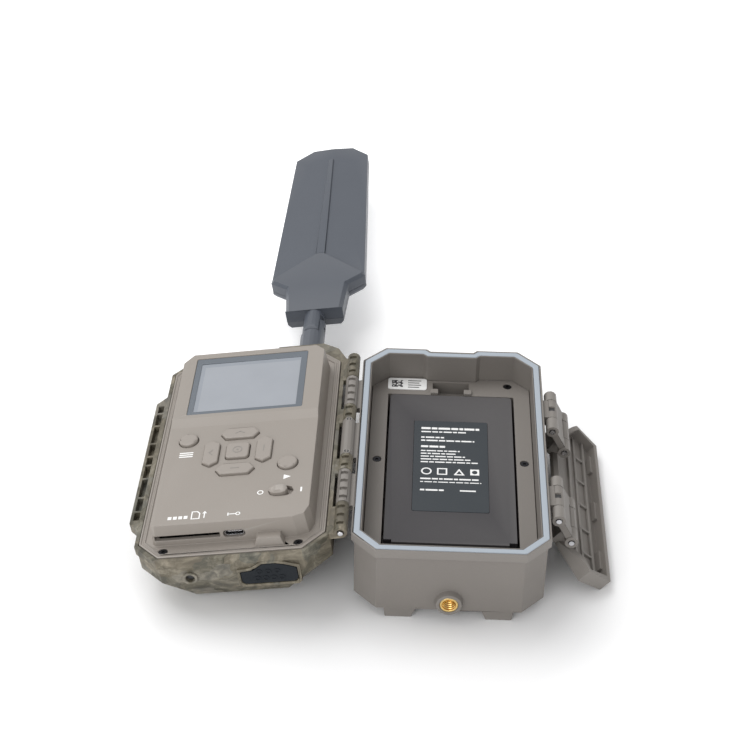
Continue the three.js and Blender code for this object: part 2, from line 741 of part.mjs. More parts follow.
// The corner block that carries the antenna: flat on its far face, tapered to the front
function antennaBulge() {
  const near = halfLength - 15;
  const left = ANTENNA_X - 15.5;
  const top = [
    [left, near], [left, halfLength - 1], [left + 2, bulgeFar], [ANTENNA_X + 9.5, bulgeFar],
    [halfWidth - 4, bulgeFar - 5.5], [halfWidth + 0.5, halfLength - 8], [halfWidth + 2, near],
  ];
  const foot = [
    [left + 3, near], [left + 3, halfLength - 1], [left + 5, bulgeFar], [ANTENNA_X + 8.5, bulgeFar],
    [halfWidth - 7, bulgeFar - 5.5], [halfWidth - 4, halfLength - 10], [halfWidth - 3, near],
  ];
  const tail = [
    [left + 7, near], [left + 7, halfLength - 2], [ANTENNA_X + 7.5, halfLength - 2], [halfWidth - 8, near],
  ];
  return loft([top, -1], [foot, -ANTENNA_DEPTH - 7], [tail, -ANTENNA_DEPTH - 12]);
}

function housingShell() {
  const wallX = halfWidth - LIP_PROUD / 2;
  const wallY = halfLength - LIP_PROUD / 2;
  let body = prism(rimOutline(0), -LIP_HEIGHT, 0);
  body = body.add(prism(octagon(wallX, wallY, CORNER), -HOUSING_BREAK, -LIP_HEIGHT + 1));
  body = body.add(loft(
    [octagon(wallX, wallY, CORNER), -HOUSING_BREAK],
    [octagon(FACE_WIDTH / 2, FACE_LENGTH / 2, 10), -FACE_DEPTH],
  ));
  body = body.add(loft(
    [octagon(HOOD_HALF_WIDTH + HOOD_FLARE, HOOD_HALF_LENGTH + 3, 9, 0, HOOD_Y + 1), -FACE_DEPTH + HOOD_FLARE],
    [octagon(HOOD_HALF_WIDTH, HOOD_HALF_LENGTH, 9, 0, HOOD_Y), -HOOD_DEPTH],
  ));
  body = body.add(antennaBulge());
  const innerX = wallX - HOUSING_WALL;
  const innerY = wallY - HOUSING_WALL;
  const cornerIn = CORNER - HOUSING_WALL * (2 - Math.SQRT2);
  const innerFace = FACE_DEPTH - HOUSING_WALL;
  const cavity = prism(octagon(innerX, innerY, cornerIn), -HOUSING_BREAK, 1).add(loft(
    [octagon(innerX, innerY, cornerIn), -HOUSING_BREAK + 0.01],
    [octagon(FACE_WIDTH / 2 - 2, FACE_LENGTH / 2 - 2, 9), -innerFace],
  ));
  body = body.subtract(cavity).subtract(connectorPocket());
  body = body.add(catchFlange());
  for (const [x, y] of panelScrews) {
    const boss = box(
      [Math.min(x, x + Math.sign(x) * 3) - 2.6, Math.max(x, x + Math.sign(x) * 3) + 2.6],
      [Math.min(y - 2.8, y + 2.8), Math.max(y - 2.8, y + 4)].map((value) => (y < 0 ? value - 1.2 : value)),
      [-HOUSING_BREAK, -PANEL_BASE - 1],
    );
    body = body.add(boss.intersect(prism(octagon(wallX - 1, wallY - 1, CORNER), -HOUSING_BREAK, 0)));
  }
  return body.subtract(prism(rimOutline(PANEL_INSET), -PANEL_BASE - SEAT, 1));
}

function portFeatures(shell) {
  let body = shell;
  body = body.add(prismY(portOutline(PORT_PAD), portFace, -halfLength + 8));
  body = body.add(cylinderY(MIC_X, -MIC_DEPTH, MIC_RING, -halfLength - 0.6, -halfLength + 4, FINE_SIDES));
  body = body.subtract(prismY(portOutline(GAP), portFace - 1, portFace + PLUG_THICKNESS + GAP));
  const bore = cylinderY(PORT_X - 5, portCentre, 3.6, portFace, -halfLength + 20);
  const slot = box(
    [PORT_X + 2.5, PORT_X + 9.5],
    [portFace, -halfLength + 20],
    [portCentre - 1.8, portCentre + 1.8],
  );
  const hearingHole = cylinderY(MIC_X, -MIC_DEPTH, MIC_RADIUS, -halfLength - 2, -halfLength + 20, FINE_SIDES);
  return body.subtract(bore).subtract(slot).subtract(hearingHole);
}

// The lens ring seat, the sensor opening and the stepped opening of the lamp window
function frontFeatures(shell) {
  const face = -FACE_DEPTH;
  let body = shell;
  body = body.add(cylinderZ(0, LENS_Y, LENS_RADIUS + 5, face - 1.2, face + 1, FINE_SIDES));
  body = body.subtract(cylinderZ(0, LENS_Y, LENS_RADIUS + 3 + GAP, face - 3, face + 1.2, FINE_SIDES));
  body = body.subtract(cylinderZ(0, LENS_Y, LENS_RADIUS + 1, face - 3, 0, FINE_SIDES));
  body = body.subtract(cylinderZ(0, PIR_Y, PIR_RADIUS + GAP, -HOOD_DEPTH - 3, 0, FINE_SIDES));
  body = body.subtract(prism(roundedRect(IR_WIDTH, IR_LENGTH, 2, 0, IR_Y), face - 1, 0));
  return body.subtract(prism(roundedRect(IR_WIDTH + 4, IR_LENGTH + 4, 3, 0, IR_Y), face - 1, face + 1.2));
}

function connectorBore() {
  return cylinderY(ANTENNA_X, -ANTENNA_DEPTH, STUB_RADIUS + GAP, halfLength - 5, bulgeFar + 1);
}

function frontHousing() {
  let body = housingShell();
  body = portFeatures(body);
  body = frontFeatures(body);
  body = body.subtract(connectorBore());
  for (const [x, y] of panelScrews) {
    body = body.subtract(cylinderZ(x, y, SCREW_SHANK_RADIUS + GAP, -SCREW_LENGTH - 2, 0, 12));
  }
  return addKnuckles(body, frontSpans, -1, hingeX, HINGE_RISE);
}

piece(housing, 'front_housing', frontHousing(), CAMO, 0.7);

// ---------------------------------------------------------------- camera half: control panel

function blockOutline(inset) {
  const left = BLOCK_LEFT + inset;
  const right = BLOCK_RIGHT - inset;
  const near = BLOCK_NEAR + inset;
  const far = BLOCK_FAR - inset;
  return [
    [left, near + 1.5], [left + 1.5, near], [right - 7, near], [right - 2, near + 2], [right, near + 7],
    [right, far - 4], [right - 4, far], [left + 4.5, far], [left, far - 6],
  ];
}

function blockBody(inset, top) {
  const slope = 1.2;
  const low = -PANEL_BASE - 0.01;
  const body = loft([blockOutline(inset), low], [blockOutline(inset + slope), top + SCREEN_STEP]);
  const cutProfile = [
    [BLOCK_NEAR - 5, top], [STEP_NEAR, top], [STEP_FAR, top + SCREEN_STEP], [STEP_FAR, top + 10],
    [BLOCK_NEAR - 5, top + 10],
  ];
  return body.subtract(prismX(cutProfile, -60, 60));
}

// An arrow key: a long hexagon, lying along x or along y
function hexKey(u, v, halfLong, halfShort, alongX) {
  const taper = 2.6;
  const flat = [
    [halfLong, 0], [halfLong - taper, halfShort], [-halfLong + taper, halfShort],
    [-halfLong, 0], [-halfLong + taper, -halfShort], [halfLong - taper, -halfShort],
  ];
  return flat.map(([long, short]) => (alongX ? [u + long, v + short] : [u - short, v + long]));
}

function circle(u, v, radius, sides = FINE_SIDES) {
  return Array.from({ length: sides }, (_, i) => {
    const angle = i / sides * 2 * Math.PI;
    return [u + radius * Math.cos(angle), v + radius * Math.sin(angle)];
  });
}

function scaled(points, grow) {
  const u = points.reduce((sum, point) => sum + point[0], 0) / points.length;
  const v = points.reduce((sum, point) => sum + point[1], 0) / points.length;
  return points.map(([x, y]) => {
    const reach = Math.hypot(x - u, y - v);
    return [u + (x - u) * (reach + grow) / reach, v + (y - v) * (reach + grow) / reach];
  });
}

const PAD_X = -0.1;
const PAD_Y = -15.8;
const PAD_REACH = 12.6;
const ARROW_HALF_LONG = 9;
const ARROW_HALF_SHORT = 3.7;

const keys = [
  ['key_menu', circle(-24.4, -5.3, 4.5)],
  ['key_start', circle(24, -26.9, 4.6)],
  ['key_up', hexKey(PAD_X, PAD_Y + PAD_REACH, ARROW_HALF_LONG, ARROW_HALF_SHORT, true)],
  ['key_down', hexKey(PAD_X, PAD_Y - PAD_REACH - 0.6, ARROW_HALF_LONG, ARROW_HALF_SHORT, true)],
  ['key_left', hexKey(PAD_X - PAD_REACH + 0.3, PAD_Y - 0.8, ARROW_HALF_LONG, ARROW_HALF_SHORT, false)],
  ['key_right', hexKey(PAD_X + PAD_REACH - 0.3, PAD_Y - 0.2, ARROW_HALF_LONG, ARROW_HALF_SHORT, false)],
  ['key_ok', roundedRect(10.8, 10.8, 1.6, PAD_X, PAD_Y)],
];

function controlPanel() {
  const flat = BLOCK_HEIGHT;
  const cut = PANEL_INSET + GAP;
  let body = prism(rimOutline(cut), -PANEL_BASE, 0);
  const ribs = [[cut, 0.9], [cut + 1.9, 0.9]];
  for (const [inset, width] of ribs) {
    body = body.add(prism(rimOutline(inset), -0.5, PANEL_RIB)
      .subtract(prism(rimOutline(inset + width), -1, 2)));
  }
  body = body.add(blockBody(0, flat));
  body = body.subtract(blockBody(PANEL_WALL, flat - PANEL_WALL));
  body = body.subtract(prism(
    roundedRect(WINDOW_WIDTH, WINDOW_LENGTH, 0.8, 0, WINDOW_Y), windowSeat - SEAT, screenHeight + 2,
  ));
  body = body.subtract(prism(
    roundedRect(WINDOW_WIDTH - 5, WINDOW_LENGTH - 5, 0.8, 0, WINDOW_Y), windowSeat - 5, screenHeight + 2,
  ));
  for (const [, outline] of keys) {
    body = body.subtract(prism(scaled(outline, KEY_GAP), flat - 5, flat + 3));
  }
  const slotEnd = SWITCH_SLOT_WIDTH / 2 - 0.1;
  const slot = roundedRect(SWITCH_SLOT_LENGTH, SWITCH_SLOT_WIDTH, slotEnd, SWITCH_X, SWITCH_Y);
  body = body.subtract(prism(slot, flat - 5, flat + 3));
  const nearFace = BLOCK_NEAR - 1;
  body = body.subtract(box(
    [CARD_SLOT_X - CARD_SLOT_WIDTH / 2, CARD_SLOT_X + CARD_SLOT_WIDTH / 2],
    [nearFace, BLOCK_NEAR + 5],
    [boardTop + 0.6, boardTop + 0.6 + CARD_SLOT_HEIGHT],
  ));
  body = body.subtract(prismY(
    roundedRect(USB_WIDTH + 0.8, USB_HEIGHT + 0.8, USB_HEIGHT / 2, USB_X, boardTop + 0.3 + USB_HEIGHT / 2),
    nearFace,
    BLOCK_NEAR + 5,
  ));
  body = body.add(loft(
    [[[10.8, -70], [24.4, -70], [24.4, -63], [10.8, -63]], -0.5],
    [[[12.4, -68.6], [22.8, -68.6], [22.8, -63], [12.4, -63]], 4],
  ).subtract(blockBody(1, flat)));
  for (const [x, y] of panelScrews) {
    body = body.subtract(screwHole(x, y, 0));
  }
  return body;
}

piece(housing, 'control_panel', controlPanel(), TAUPE);

panelScrews.forEach(([x, y], i) => {
  const headTop = -SCREW_POCKET + SCREW_HEAD_HEIGHT + SEAT;
  piece(housing, `panel_screw_${i + 1}`, screw(x, y, headTop), BLACK, 0.4, 0.8);
});

for (const [name, outline] of keys) {
  const under = BLOCK_HEIGHT - PANEL_WALL - GAP - 1;
  const cap = loft(
    [outline, under],
    [outline, BLOCK_HEIGHT + KEY_PROUD - 0.4],
    [scaled(outline, -0.5), BLOCK_HEIGHT + KEY_PROUD],
  );
  const flange = prism(scaled(outline, KEY_FLANGE), under - KEY_FLANGE_HEIGHT, under + 0.01);
  piece(housing, name, cap.add(flange), TAUPE, 0.55);
}

function switchKnob() {
  const x = SWITCH_X - (SWITCH_SLOT_LENGTH - SWITCH_KNOB_LENGTH) / 2 + GAP;
  const under = BLOCK_HEIGHT - PANEL_WALL - GAP;
  const outline = roundedRect(SWITCH_KNOB_LENGTH, SWITCH_SLOT_WIDTH - 2 * GAP, 2.6, x, SWITCH_Y);
  const knob = loft(
    [outline, under - 0.5],
    [outline, BLOCK_HEIGHT + SWITCH_PROUD * 0.6],
    [scaled(outline, -1.4), BLOCK_HEIGHT + SWITCH_PROUD],
  );
  const plate = box([x - 7.5, x + 7.5], [SWITCH_Y - 4.4, SWITCH_Y + 4.4], [under - 1.4, under]);
  return knob.add(plate);
}

piece(housing, 'power_switch_knob', switchKnob(), TAUPE, 0.55);

piece(housing, 'lcd_window', prism(
  roundedRect(WINDOW_WIDTH - 0.4, WINDOW_LENGTH - 0.4, 0.8, 0, WINDOW_Y), windowSeat, screenHeight - 0.1,
), 0x73797f, 0.15);

piece(housing, 'lcd_module', box(
  [-WINDOW_WIDTH / 2 + 1.75, WINDOW_WIDTH / 2 - 1.75],
  [WINDOW_Y - WINDOW_LENGTH / 2 + 2, WINDOW_Y + WINDOW_LENGTH / 2 - 2],
  [windowSeat - PANEL_WALL - 2.6, windowSeat - PANEL_WALL + 0.4],
), 0xabb0ba, 0.3);

// ---------------------------------------------------------------- camera half: electronics

piece(housing, 'main_board', prism(
  roundedRect(60, 116, 2, blockMiddle, -1), BOARD_HEIGHT, boardTop,
), BOARD_GREEN, 0.5);

function cardSocket() {
  const x = CARD_SLOT_X;
  const half = CARD_SLOT_WIDTH / 2 - 1.7;
  const near = BLOCK_NEAR + PANEL_WALL + 2;
  const shell = box([x - half, x + half], [near, near + 26], [boardTop + SEAT, boardTop + 3.6]);
  const mouth = box([x - half + 0.8, x + half - 0.8], [near - 1, near + 24], [boardTop + 0.8, boardTop + 3]);
  return shell.subtract(mouth);
}

piece(housing, 'sd_card_socket', cardSocket(), STEEL, 0.35, 1);

function usbSocket() {
  const height = boardTop + 0.3 + USB_HEIGHT / 2;
  const near = BLOCK_NEAR + 1.4;
  const shell = prismY(roundedRect(USB_WIDTH, USB_HEIGHT, 1.5, USB_X, height), near, near + 8);
  const opening = roundedRect(USB_WIDTH - 0.8, USB_HEIGHT - 0.8, 1.15, USB_X, height);
  const mouth = prismY(opening, near - 1, near + 7);
  const tongue = box([USB_X - 3.2, USB_X + 3.2], [near + 1, near + 7.5], [height - 0.35, height + 0.35]);
  return shell.subtract(mouth).add(tongue);
}

piece(housing, 'usb_c_socket', usbSocket(), STEEL, 0.35, 1);

piece(housing, 'port_plug', prismY(
  portOutline(0), portFace + 0.05, portFace + PLUG_THICKNESS,
).add(cylinderY(PORT_X - 5, portCentre, 2.9, portFace + 1, portFace + 4.4)), LABEL_SLATE, 0.8);

function powerJack() {
  const near = portFace + PLUG_THICKNESS + 4;
  const body = cylinderY(PORT_X - 5, portCentre, 3.2, near, near + 9);
  const hole = cylinderY(PORT_X - 5, portCentre, 2.6, near - 1, near + 7);
  return body.subtract(hole).add(cylinderY(PORT_X - 5, portCentre, 0.8, near + 1, near + 8, 12));
}

piece(housing, 'dc_jack', powerJack(), BLACK, 0.5);

piece(housing, 'microphone', cylinderY(
  MIC_X, -MIC_DEPTH, MIC_RADIUS - GAP, -halfLength + 1.2, -halfLength + 6,
), BLACK, 0.6);

piece(housing, 'speaker', cylinderZ(-16, -44, 7, -12, -8, FINE_SIDES)
  .add(cylinderZ(-16, -44, 4, -8.5, -6, FINE_SIDES)), BLACK, 0.5);

function lensBezel() {
  const outer = LENS_RADIUS + 3;
  const ring = cylinderZ(0, LENS_Y, outer, -FACE_DEPTH - 1.8, -FACE_DEPTH + 1, FINE_SIDES);
  const wide = LENS_RADIUS + 1.2;
  const narrow = LENS_RADIUS - 0.8;
  const funnel = cylinderZ(0, LENS_Y, wide, -FACE_DEPTH - 2, -FACE_DEPTH + 1.2, FINE_SIDES, narrow);
  return ring.subtract(funnel);
}

piece(housing, 'lens_bezel', lensBezel(), BLACK, 0.4);

piece(housing, 'lens_glass', cylinderZ(
  0, LENS_Y, LENS_RADIUS, -FACE_DEPTH + 1.3, -FACE_DEPTH + 2.8, FINE_SIDES,
), 0x27303a, 0.05);

piece(housing, 'camera_module', cylinderZ(0, LENS_Y, 6.5, -FACE_DEPTH + 3.2, -FACE_DEPTH + 12, FINE_SIDES)
  .add(box([-9, 9], [LENS_Y - 9, LENS_Y + 9], [-FACE_DEPTH + 11.8, -FACE_DEPTH + 15])), BLACK, 0.4);

piece(housing, 'ir_window', prism(
  roundedRect(IR_WIDTH + 3.4, IR_LENGTH + 3.4, 2.7, 0, IR_Y), -FACE_DEPTH - 0.4, -FACE_DEPTH + 1.1,
), 0x221a1c, 0.1);

function ledBoard() {
  let body = box([-24, 24], [IR_Y - 9.4, IR_Y + 9.4], [-FACE_DEPTH + 5, -FACE_DEPTH + 6.6]);
  for (let row = 0; row < 3; row += 1) {
    for (let column = 0; column < 6; column += 1) {
      const x = (column - 2.5) * 7.6;
      const y = IR_Y + (row - 1) * 5.8;
      body = body.add(cylinderZ(x, y, 1.5, -FACE_DEPTH + 2.4, -FACE_DEPTH + 5.2, 8, 1.7));
    }
  }
  return body;
}

piece(housing, 'ir_led_board', ledBoard(), 0x2a2a30, 0.4);

// The sensor lens is a thin dome with a flange, open behind.
function pirLens() {
  const crown = HOOD_DEPTH + PIR_RISE;
  const sphere = (PIR_RADIUS ** 2 + PIR_RISE ** 2) / (2 * PIR_RISE);
  const steps = 4;
  const reach = Math.asin((PIR_RADIUS - 1) / sphere);
  const outer = [];
  const inner = [];
  for (let i = 0; i <= steps; i += 1) {
    const angle = reach * i / steps;
    const drop = sphere * (1 - Math.cos(angle));
    outer.push(new THREE.Vector2(sphere * Math.sin(angle), -crown + drop));
    inner.push(new THREE.Vector2((sphere - 1.2) * Math.sin(angle), -crown + 1.2 + drop));
  }
  const brim = -HOOD_DEPTH + 1.8;
  const profile = [
    ...outer,
    new THREE.Vector2(PIR_RADIUS - 0.2, -HOOD_DEPTH + 0.6),
    new THREE.Vector2(PIR_RADIUS - 0.2, brim),
    new THREE.Vector2(PIR_RADIUS - 2.4, brim),
    ...inner.slice(0, steps).reverse(),
  ];
  const geometry = new THREE.LatheGeometry(profile, FINE_SIDES);
  return solid(geometry.rotateX(Math.PI / 2).translate(0, PIR_Y, 0));
}

piece(housing, 'pir_lens', pirLens(), 0xe6e4dd, 0.4);

piece(housing, 'pir_sensor', cylinderZ(0, PIR_Y, 4.6, -HOOD_DEPTH + 10, -HOOD_DEPTH + 14, FINE_SIDES)
  .add(cylinderZ(0, PIR_Y, 5.2, -HOOD_DEPTH + 13.5, -HOOD_DEPTH + 14.5, FINE_SIDES)), STEEL, 0.3, 1);

// ---------------------------------------------------------------- latch

function latchLink(y0) {
  const spans = [
    [y0 + LINK_NEAR, y0 + LATCH_MIDDLE_NEAR - GAP / 2],
    [y0 + LATCH_MIDDLE_FAR + GAP / 2, y0 + LINK_FAR],
  ];
  const webHalf = 1.6;
  const webReach = LATCH_RADIUS + GAP + 0.3;
  const webSpan = [spans[0][0] + 1, spans[1][1] - 1];
  let body = box([-webHalf, webHalf], webSpan, [-LINK_LENGTH + webReach, -webReach]);
  for (const [near, far] of spans) {
    body = body.add(cylinderY(0, 0, LATCH_RADIUS, near, far));
    body = body.add(cylinderY(0, -LINK_LENGTH, LATCH_RADIUS, near, far));
    body = body.add(box([-webHalf, webHalf], [near + 0.6, far - 0.6], [-LINK_LENGTH, 0]));
  }
  for (const z of [0, -LINK_LENGTH]) {
    body = body.subtract(cylinderY(0, z, LATCH_PIN_RADIUS + GAP, y0 - 40, y0 + 40));
  }
  return body;
}

function leverOutline(inset) {
  const corner = LEVER_REACH - LEVER_CHAMFER + inset * 0.5;
  const near = LEVER_NEAR + inset;
  const far = LEVER_FAR - inset;
  return [
    [inset, near + LEVER_CHAMFER_RUN], [corner, near], [LEVER_REACH - inset, near + LEVER_CORNER_RUN],
    [LEVER_REACH - inset, far - LEVER_CORNER_RUN], [corner, far], [inset, far - LEVER_CHAMFER_RUN],
  ];
}

function latchLever() {
  const skin = -LEVER_OFFSET + LEVER_SKIN;
  let body = prism(leverOutline(0), -LEVER_OFFSET, 0);
  body = body.subtract(prism(leverOutline(LEVER_SKIN), skin, 1));
  const aboveWalls = [
    [-5, skin], [0, skin], [LEVER_CHAMFER - 4, LEVER_END_TOP],
    [LEVER_REACH + 1, LEVER_HOOK_TOP], [LEVER_REACH + 1, 5], [-5, 5],
  ];
  body = body.subtract(prismY(aboveWalls, LEVER_NEAR - 5, LEVER_FAR + 5));
  for (const y of CLAW_CENTRES) {
    body = body.add(box(
      [LEVER_REACH - LEVER_SKIN - CLAW_REACH, LEVER_REACH - 1],
      [y - CLAW_HALF_LENGTH, y + CLAW_HALF_LENGTH],
      [skin - 0.5, LEVER_HOOK_TOP - 2],
    ));
  }
  for (const y0 of LATCH_CENTRES) {
    const near = y0 + LATCH_MIDDLE_NEAR + GAP / 2;
    const far = y0 + LATCH_MIDDLE_FAR - GAP / 2;
    body = body.add(box([-LATCH_RADIUS, LATCH_RADIUS], [near, far], [-LEVER_OFFSET, 0]));
    body = body.add(cylinderY(0, 0, LATCH_RADIUS, near, far));
  }
  return body.subtract(cylinderY(0, 0, LATCH_PIN_RADIUS + GAP, LEVER_NEAR - 5, LEVER_FAR + 5));
}

for (const [name, y0] of [['upper', LATCH_CENTRES[0]], ['lower', LATCH_CENTRES[1]]]) {
  const near = y0 + LINK_NEAR - 0.4;
  const far = y0 + LINK_FAR - 2;
  const casePin = cylinderY(0, 0, LATCH_PIN_RADIUS, near, far);
  const leverPin = cylinderY(0, -LINK_LENGTH, LATCH_PIN_RADIUS, near, far);
  piece(linkGroup, `latch_link_${name}`, latchLink(y0), CASE_TAUPE);
  piece(linkGroup, `latch_case_pin_${name}`, casePin, STEEL, 0.3, 1);
  piece(linkGroup, `latch_lever_pin_${name}`, leverPin, STEEL, 0.3, 1);
}
piece(leverGroup, 'latch_lever', latchLever(), CASE_TAUPE);

// ---------------------------------------------------------------- antenna

const swivelStart = bulgeFar + GAP;
const nutFar = bulgeFar - BULGE_WALL - GAP;

piece(housing, 'antenna_connector', cylinderY(
  ANTENNA_X, -ANTENNA_DEPTH, STUB_RADIUS, nutFar - NUT_LENGTH - 1, stubFar,
).add(cylinderY(ANTENNA_X, -ANTENNA_DEPTH, NUT_RADIUS, nutFar - NUT_LENGTH, nutFar, 6)), BRASS, 0.35, 1);

const earPlane = SWIVEL_RADIUS - EAR_THICKNESS;
const elbowRadius = SWIVEL_RADIUS - 0.4;
const swivelShoulder = elbowY - elbowRadius - GAP;

function antennaSwivel() {
  const x = ANTENNA_X;
  const z = -ANTENNA_DEPTH;
  let body = cylinderY(x, z, SWIVEL_RADIUS, swivelStart, swivelShoulder, FINE_SIDES);
  const earSpan = [x + earPlane, x + SWIVEL_RADIUS + 1];
  const ear = cylinderX(elbowY, z, elbowRadius, ...earSpan, FINE_SIDES)
    .add(box(earSpan, [swivelShoulder - 1, elbowY], [z - elbowRadius, z + elbowRadius]))
    .intersect(cylinderY(x, z, SWIVEL_RADIUS, swivelShoulder - 2, elbowY + 20, FINE_SIDES));
  body = body.add(ear);
  body = body.subtract(cylinderX(elbowY, z, ELBOW_PIN_RADIUS + GAP, x + earPlane - 1, x + 20));
  return body.subtract(cylinderY(x, z, STUB_RADIUS + GAP, swivelStart - 1, stubFar + GAP));
}

piece(housing, 'antenna_swivel', antennaSwivel(), SLATE, 0.5);

piece(housing, 'antenna_elbow_pin', cylinderX(
  elbowY, -ANTENNA_DEPTH, ELBOW_PIN_RADIUS, ANTENNA_X - 3, ANTENNA_X + SWIVEL_RADIUS - 0.6,
), STEEL, 0.3, 1);

function paddleOutline(inset) {
  const side = [
    [PADDLE_NECK_WIDTH, PADDLE_START + inset], [PADDLE_SHOULDER_WIDTH, PADDLE_SHOULDER + inset],
    [PADDLE_WIDTH, PADDLE_WIDEST + inset], [PADDLE_TAPER_WIDTH, PADDLE_TAPER_END - inset * 0.4],
    [PADDLE_TIP_WIDTH, PADDLE_END - inset],
  ].map(([width, y]) => [width / 2 - inset, elbowY + y]);
  const right = side.map(([x, y]) => [ANTENNA_X + x, y]);
  const left = side.map(([x, y]) => [ANTENNA_X - x, y]).reverse();
  return [...right, ...left];
}

const PADDLE_SPLIT = -1.6; // the seam between the two covers, below the middle

function paddleCover(low, high, hollowLow, hollowHigh) {
  const z = -ANTENNA_DEPTH;
  return prism(paddleOutline(0), z + low, z + high)
    .subtract(prism(paddleOutline(PADDLE_SKIN), z + hollowLow, z + hollowHigh));
}

// The neck tapers to the elbow, where half of its thickness is cut away beside the ear.
function antennaNeck() {
  const x = ANTENNA_X;
  const z = -ANTENNA_DEPTH;
  const cone = cylinderY(x, z, elbowRadius - 0.2, elbowY, paddleStart + 2, FINE_SIDES, NECK_RADIUS);
  const knee = cylinderX(elbowY, z, elbowRadius, x - 20, x + 20, FINE_SIDES)
    .intersect(cylinderY(x, z, elbowRadius - 0.2, elbowY - 10, elbowY + 0.01, FINE_SIDES));
  const earRoom = box([x + earPlane - GAP, x + 20], [elbowY - 10, paddleStart - 3], [z - 10, z + 10]);
  return cone.add(knee).subtract(earRoom)
    .subtract(cylinderX(elbowY, z, ELBOW_PIN_RADIUS + GAP, x - 3 - GAP, x + 20));
}

piece(housing, 'antenna_cover_back', paddleCover(
  PADDLE_SPLIT, PADDLE_HALF_THICKNESS, PADDLE_SPLIT - 1, PADDLE_HALF_THICKNESS - PADDLE_SKIN,
).add(antennaNeck().subtract(box(
  [-60, 90], [paddleStart - 0.01, paddleStart + 80], [-ANTENNA_DEPTH - 20, -ANTENNA_DEPTH + PADDLE_SPLIT],
))), SLATE, 0.5);

piece(housing, 'antenna_cover_front', paddleCover(
  -PADDLE_HALF_THICKNESS, PADDLE_SPLIT - SEAT, -PADDLE_HALF_THICKNESS + PADDLE_SKIN, PADDLE_SPLIT + 1,
), SLATE, 0.5);

piece(housing, 'antenna_element', box(
  [ANTENNA_X - 15, ANTENNA_X + 15],
  [elbowY + PADDLE_WIDEST + 4, elbowY + PADDLE_TAPER_END - 6],
  [-ANTENNA_DEPTH + 0.4, -ANTENNA_DEPTH + 1.4],
), BOARD_GREEN, 0.4);

// ---------------------------------------------------------------- the whole camera

const camera = new THREE.Group();
camera.add(rear, housingPivot, linkGroup, leverGroup);

// The origin is in the middle of the camera's box, on the ground.
const bounds = new THREE.Box3().setFromObject(camera, true);
const middle = bounds.getCenter(new THREE.Vector3());
camera.position.set(-middle.x, -middle.y, -bounds.min.z);

export default camera;
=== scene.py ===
# %% [markdown]
# # A trail camera, opened flat
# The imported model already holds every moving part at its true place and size. This lesson gives those parts
# the look of the real thing: moulded edges, printed signs, rubber, brass and camouflage. It works in
# metres, in the model's own frame, so that nothing has to be fitted afterwards.

# %% Load the frame
import json
import math

import bmesh
import bpy
from mathutils import Matrix, Vector


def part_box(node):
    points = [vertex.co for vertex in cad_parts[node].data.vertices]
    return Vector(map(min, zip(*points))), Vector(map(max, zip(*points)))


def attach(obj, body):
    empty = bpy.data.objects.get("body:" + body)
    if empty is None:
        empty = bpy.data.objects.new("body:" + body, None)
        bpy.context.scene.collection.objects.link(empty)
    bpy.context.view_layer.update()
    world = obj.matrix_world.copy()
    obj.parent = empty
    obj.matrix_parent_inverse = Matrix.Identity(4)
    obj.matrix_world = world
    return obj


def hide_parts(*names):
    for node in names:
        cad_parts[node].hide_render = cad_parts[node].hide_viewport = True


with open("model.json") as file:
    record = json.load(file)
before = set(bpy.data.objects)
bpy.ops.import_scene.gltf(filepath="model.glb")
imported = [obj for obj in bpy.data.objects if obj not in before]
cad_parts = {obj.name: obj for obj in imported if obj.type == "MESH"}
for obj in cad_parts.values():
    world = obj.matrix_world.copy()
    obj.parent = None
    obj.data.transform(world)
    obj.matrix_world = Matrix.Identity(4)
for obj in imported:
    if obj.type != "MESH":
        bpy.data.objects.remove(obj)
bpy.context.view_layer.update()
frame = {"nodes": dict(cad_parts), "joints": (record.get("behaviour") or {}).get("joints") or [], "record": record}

MM = 0.001

# %% [markdown]
# Two halves meet at the hinge, so two sets of axes are useful. The rear case stands square to the table:
# its origin is the middle of its rim. The camera half is turned over on the hinge and leans on its own
# front, so its u, v and w axes lean with it: u runs across the panel, v along the hinge and w out of the
# panel. Both are read from the frame's joints and boxes, never from a picture.

# %% Axes of the two halves
joints = {joint["name"]: joint for joint in frame["joints"]}
gasket_low, gasket_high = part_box("rim_gasket")
case_middle = Vector((
    (gasket_low[0] + gasket_high[0]) / 2,
    (gasket_low[1] + gasket_high[1]) / 2,
    gasket_high[2] - 0.1 * MM,
))
CASE = Matrix.Translation(case_middle)

hinge = Vector(joints["case_hinge"]["pos_m"])
w_axis = -Vector(joints["press_ok"]["axis"]).normalized()
v_axis = Vector((0, 1, 0))
u_axis = v_axis.cross(w_axis)
HINGE_U = 48.6 * MM
HINGE_W = 0.4 * MM
panel_origin = hinge - HINGE_U * u_axis - HINGE_W * w_axis
panel_origin.y = case_middle.y
PANEL = Matrix.Translation(panel_origin) @ Matrix((u_axis, v_axis, w_axis)).transposed().to_4x4()
print("case middle", case_middle, "lean", round(math.degrees(math.asin(w_axis.x)), 2))

# %% [markdown]
# ## Selecting
# Operators act on whatever is selected, and loading the frame leaves everything selected. So each step
# starts by selecting nothing, and then picks one object by name.

# %% Selecting helpers
def pick(piece):
    bpy.ops.object.select_all(action="DESELECT")
    piece.select_set(True)
    bpy.context.view_layer.objects.active = piece


def edit(piece, *steps):
    """Runs edit-mode steps on everything in the piece."""
    pick(piece)
    bpy.ops.object.mode_set(mode="EDIT")
    bpy.ops.mesh.select_all(action="SELECT")
    for step in steps:
        step()
    bpy.ops.object.mode_set(mode="OBJECT")


def settle(piece):
    """Puts the piece's place into its mesh, so that its object sits at the origin, unturned."""
    pick(piece)
    bpy.ops.object.transform_apply(location=True, rotation=True, scale=True)


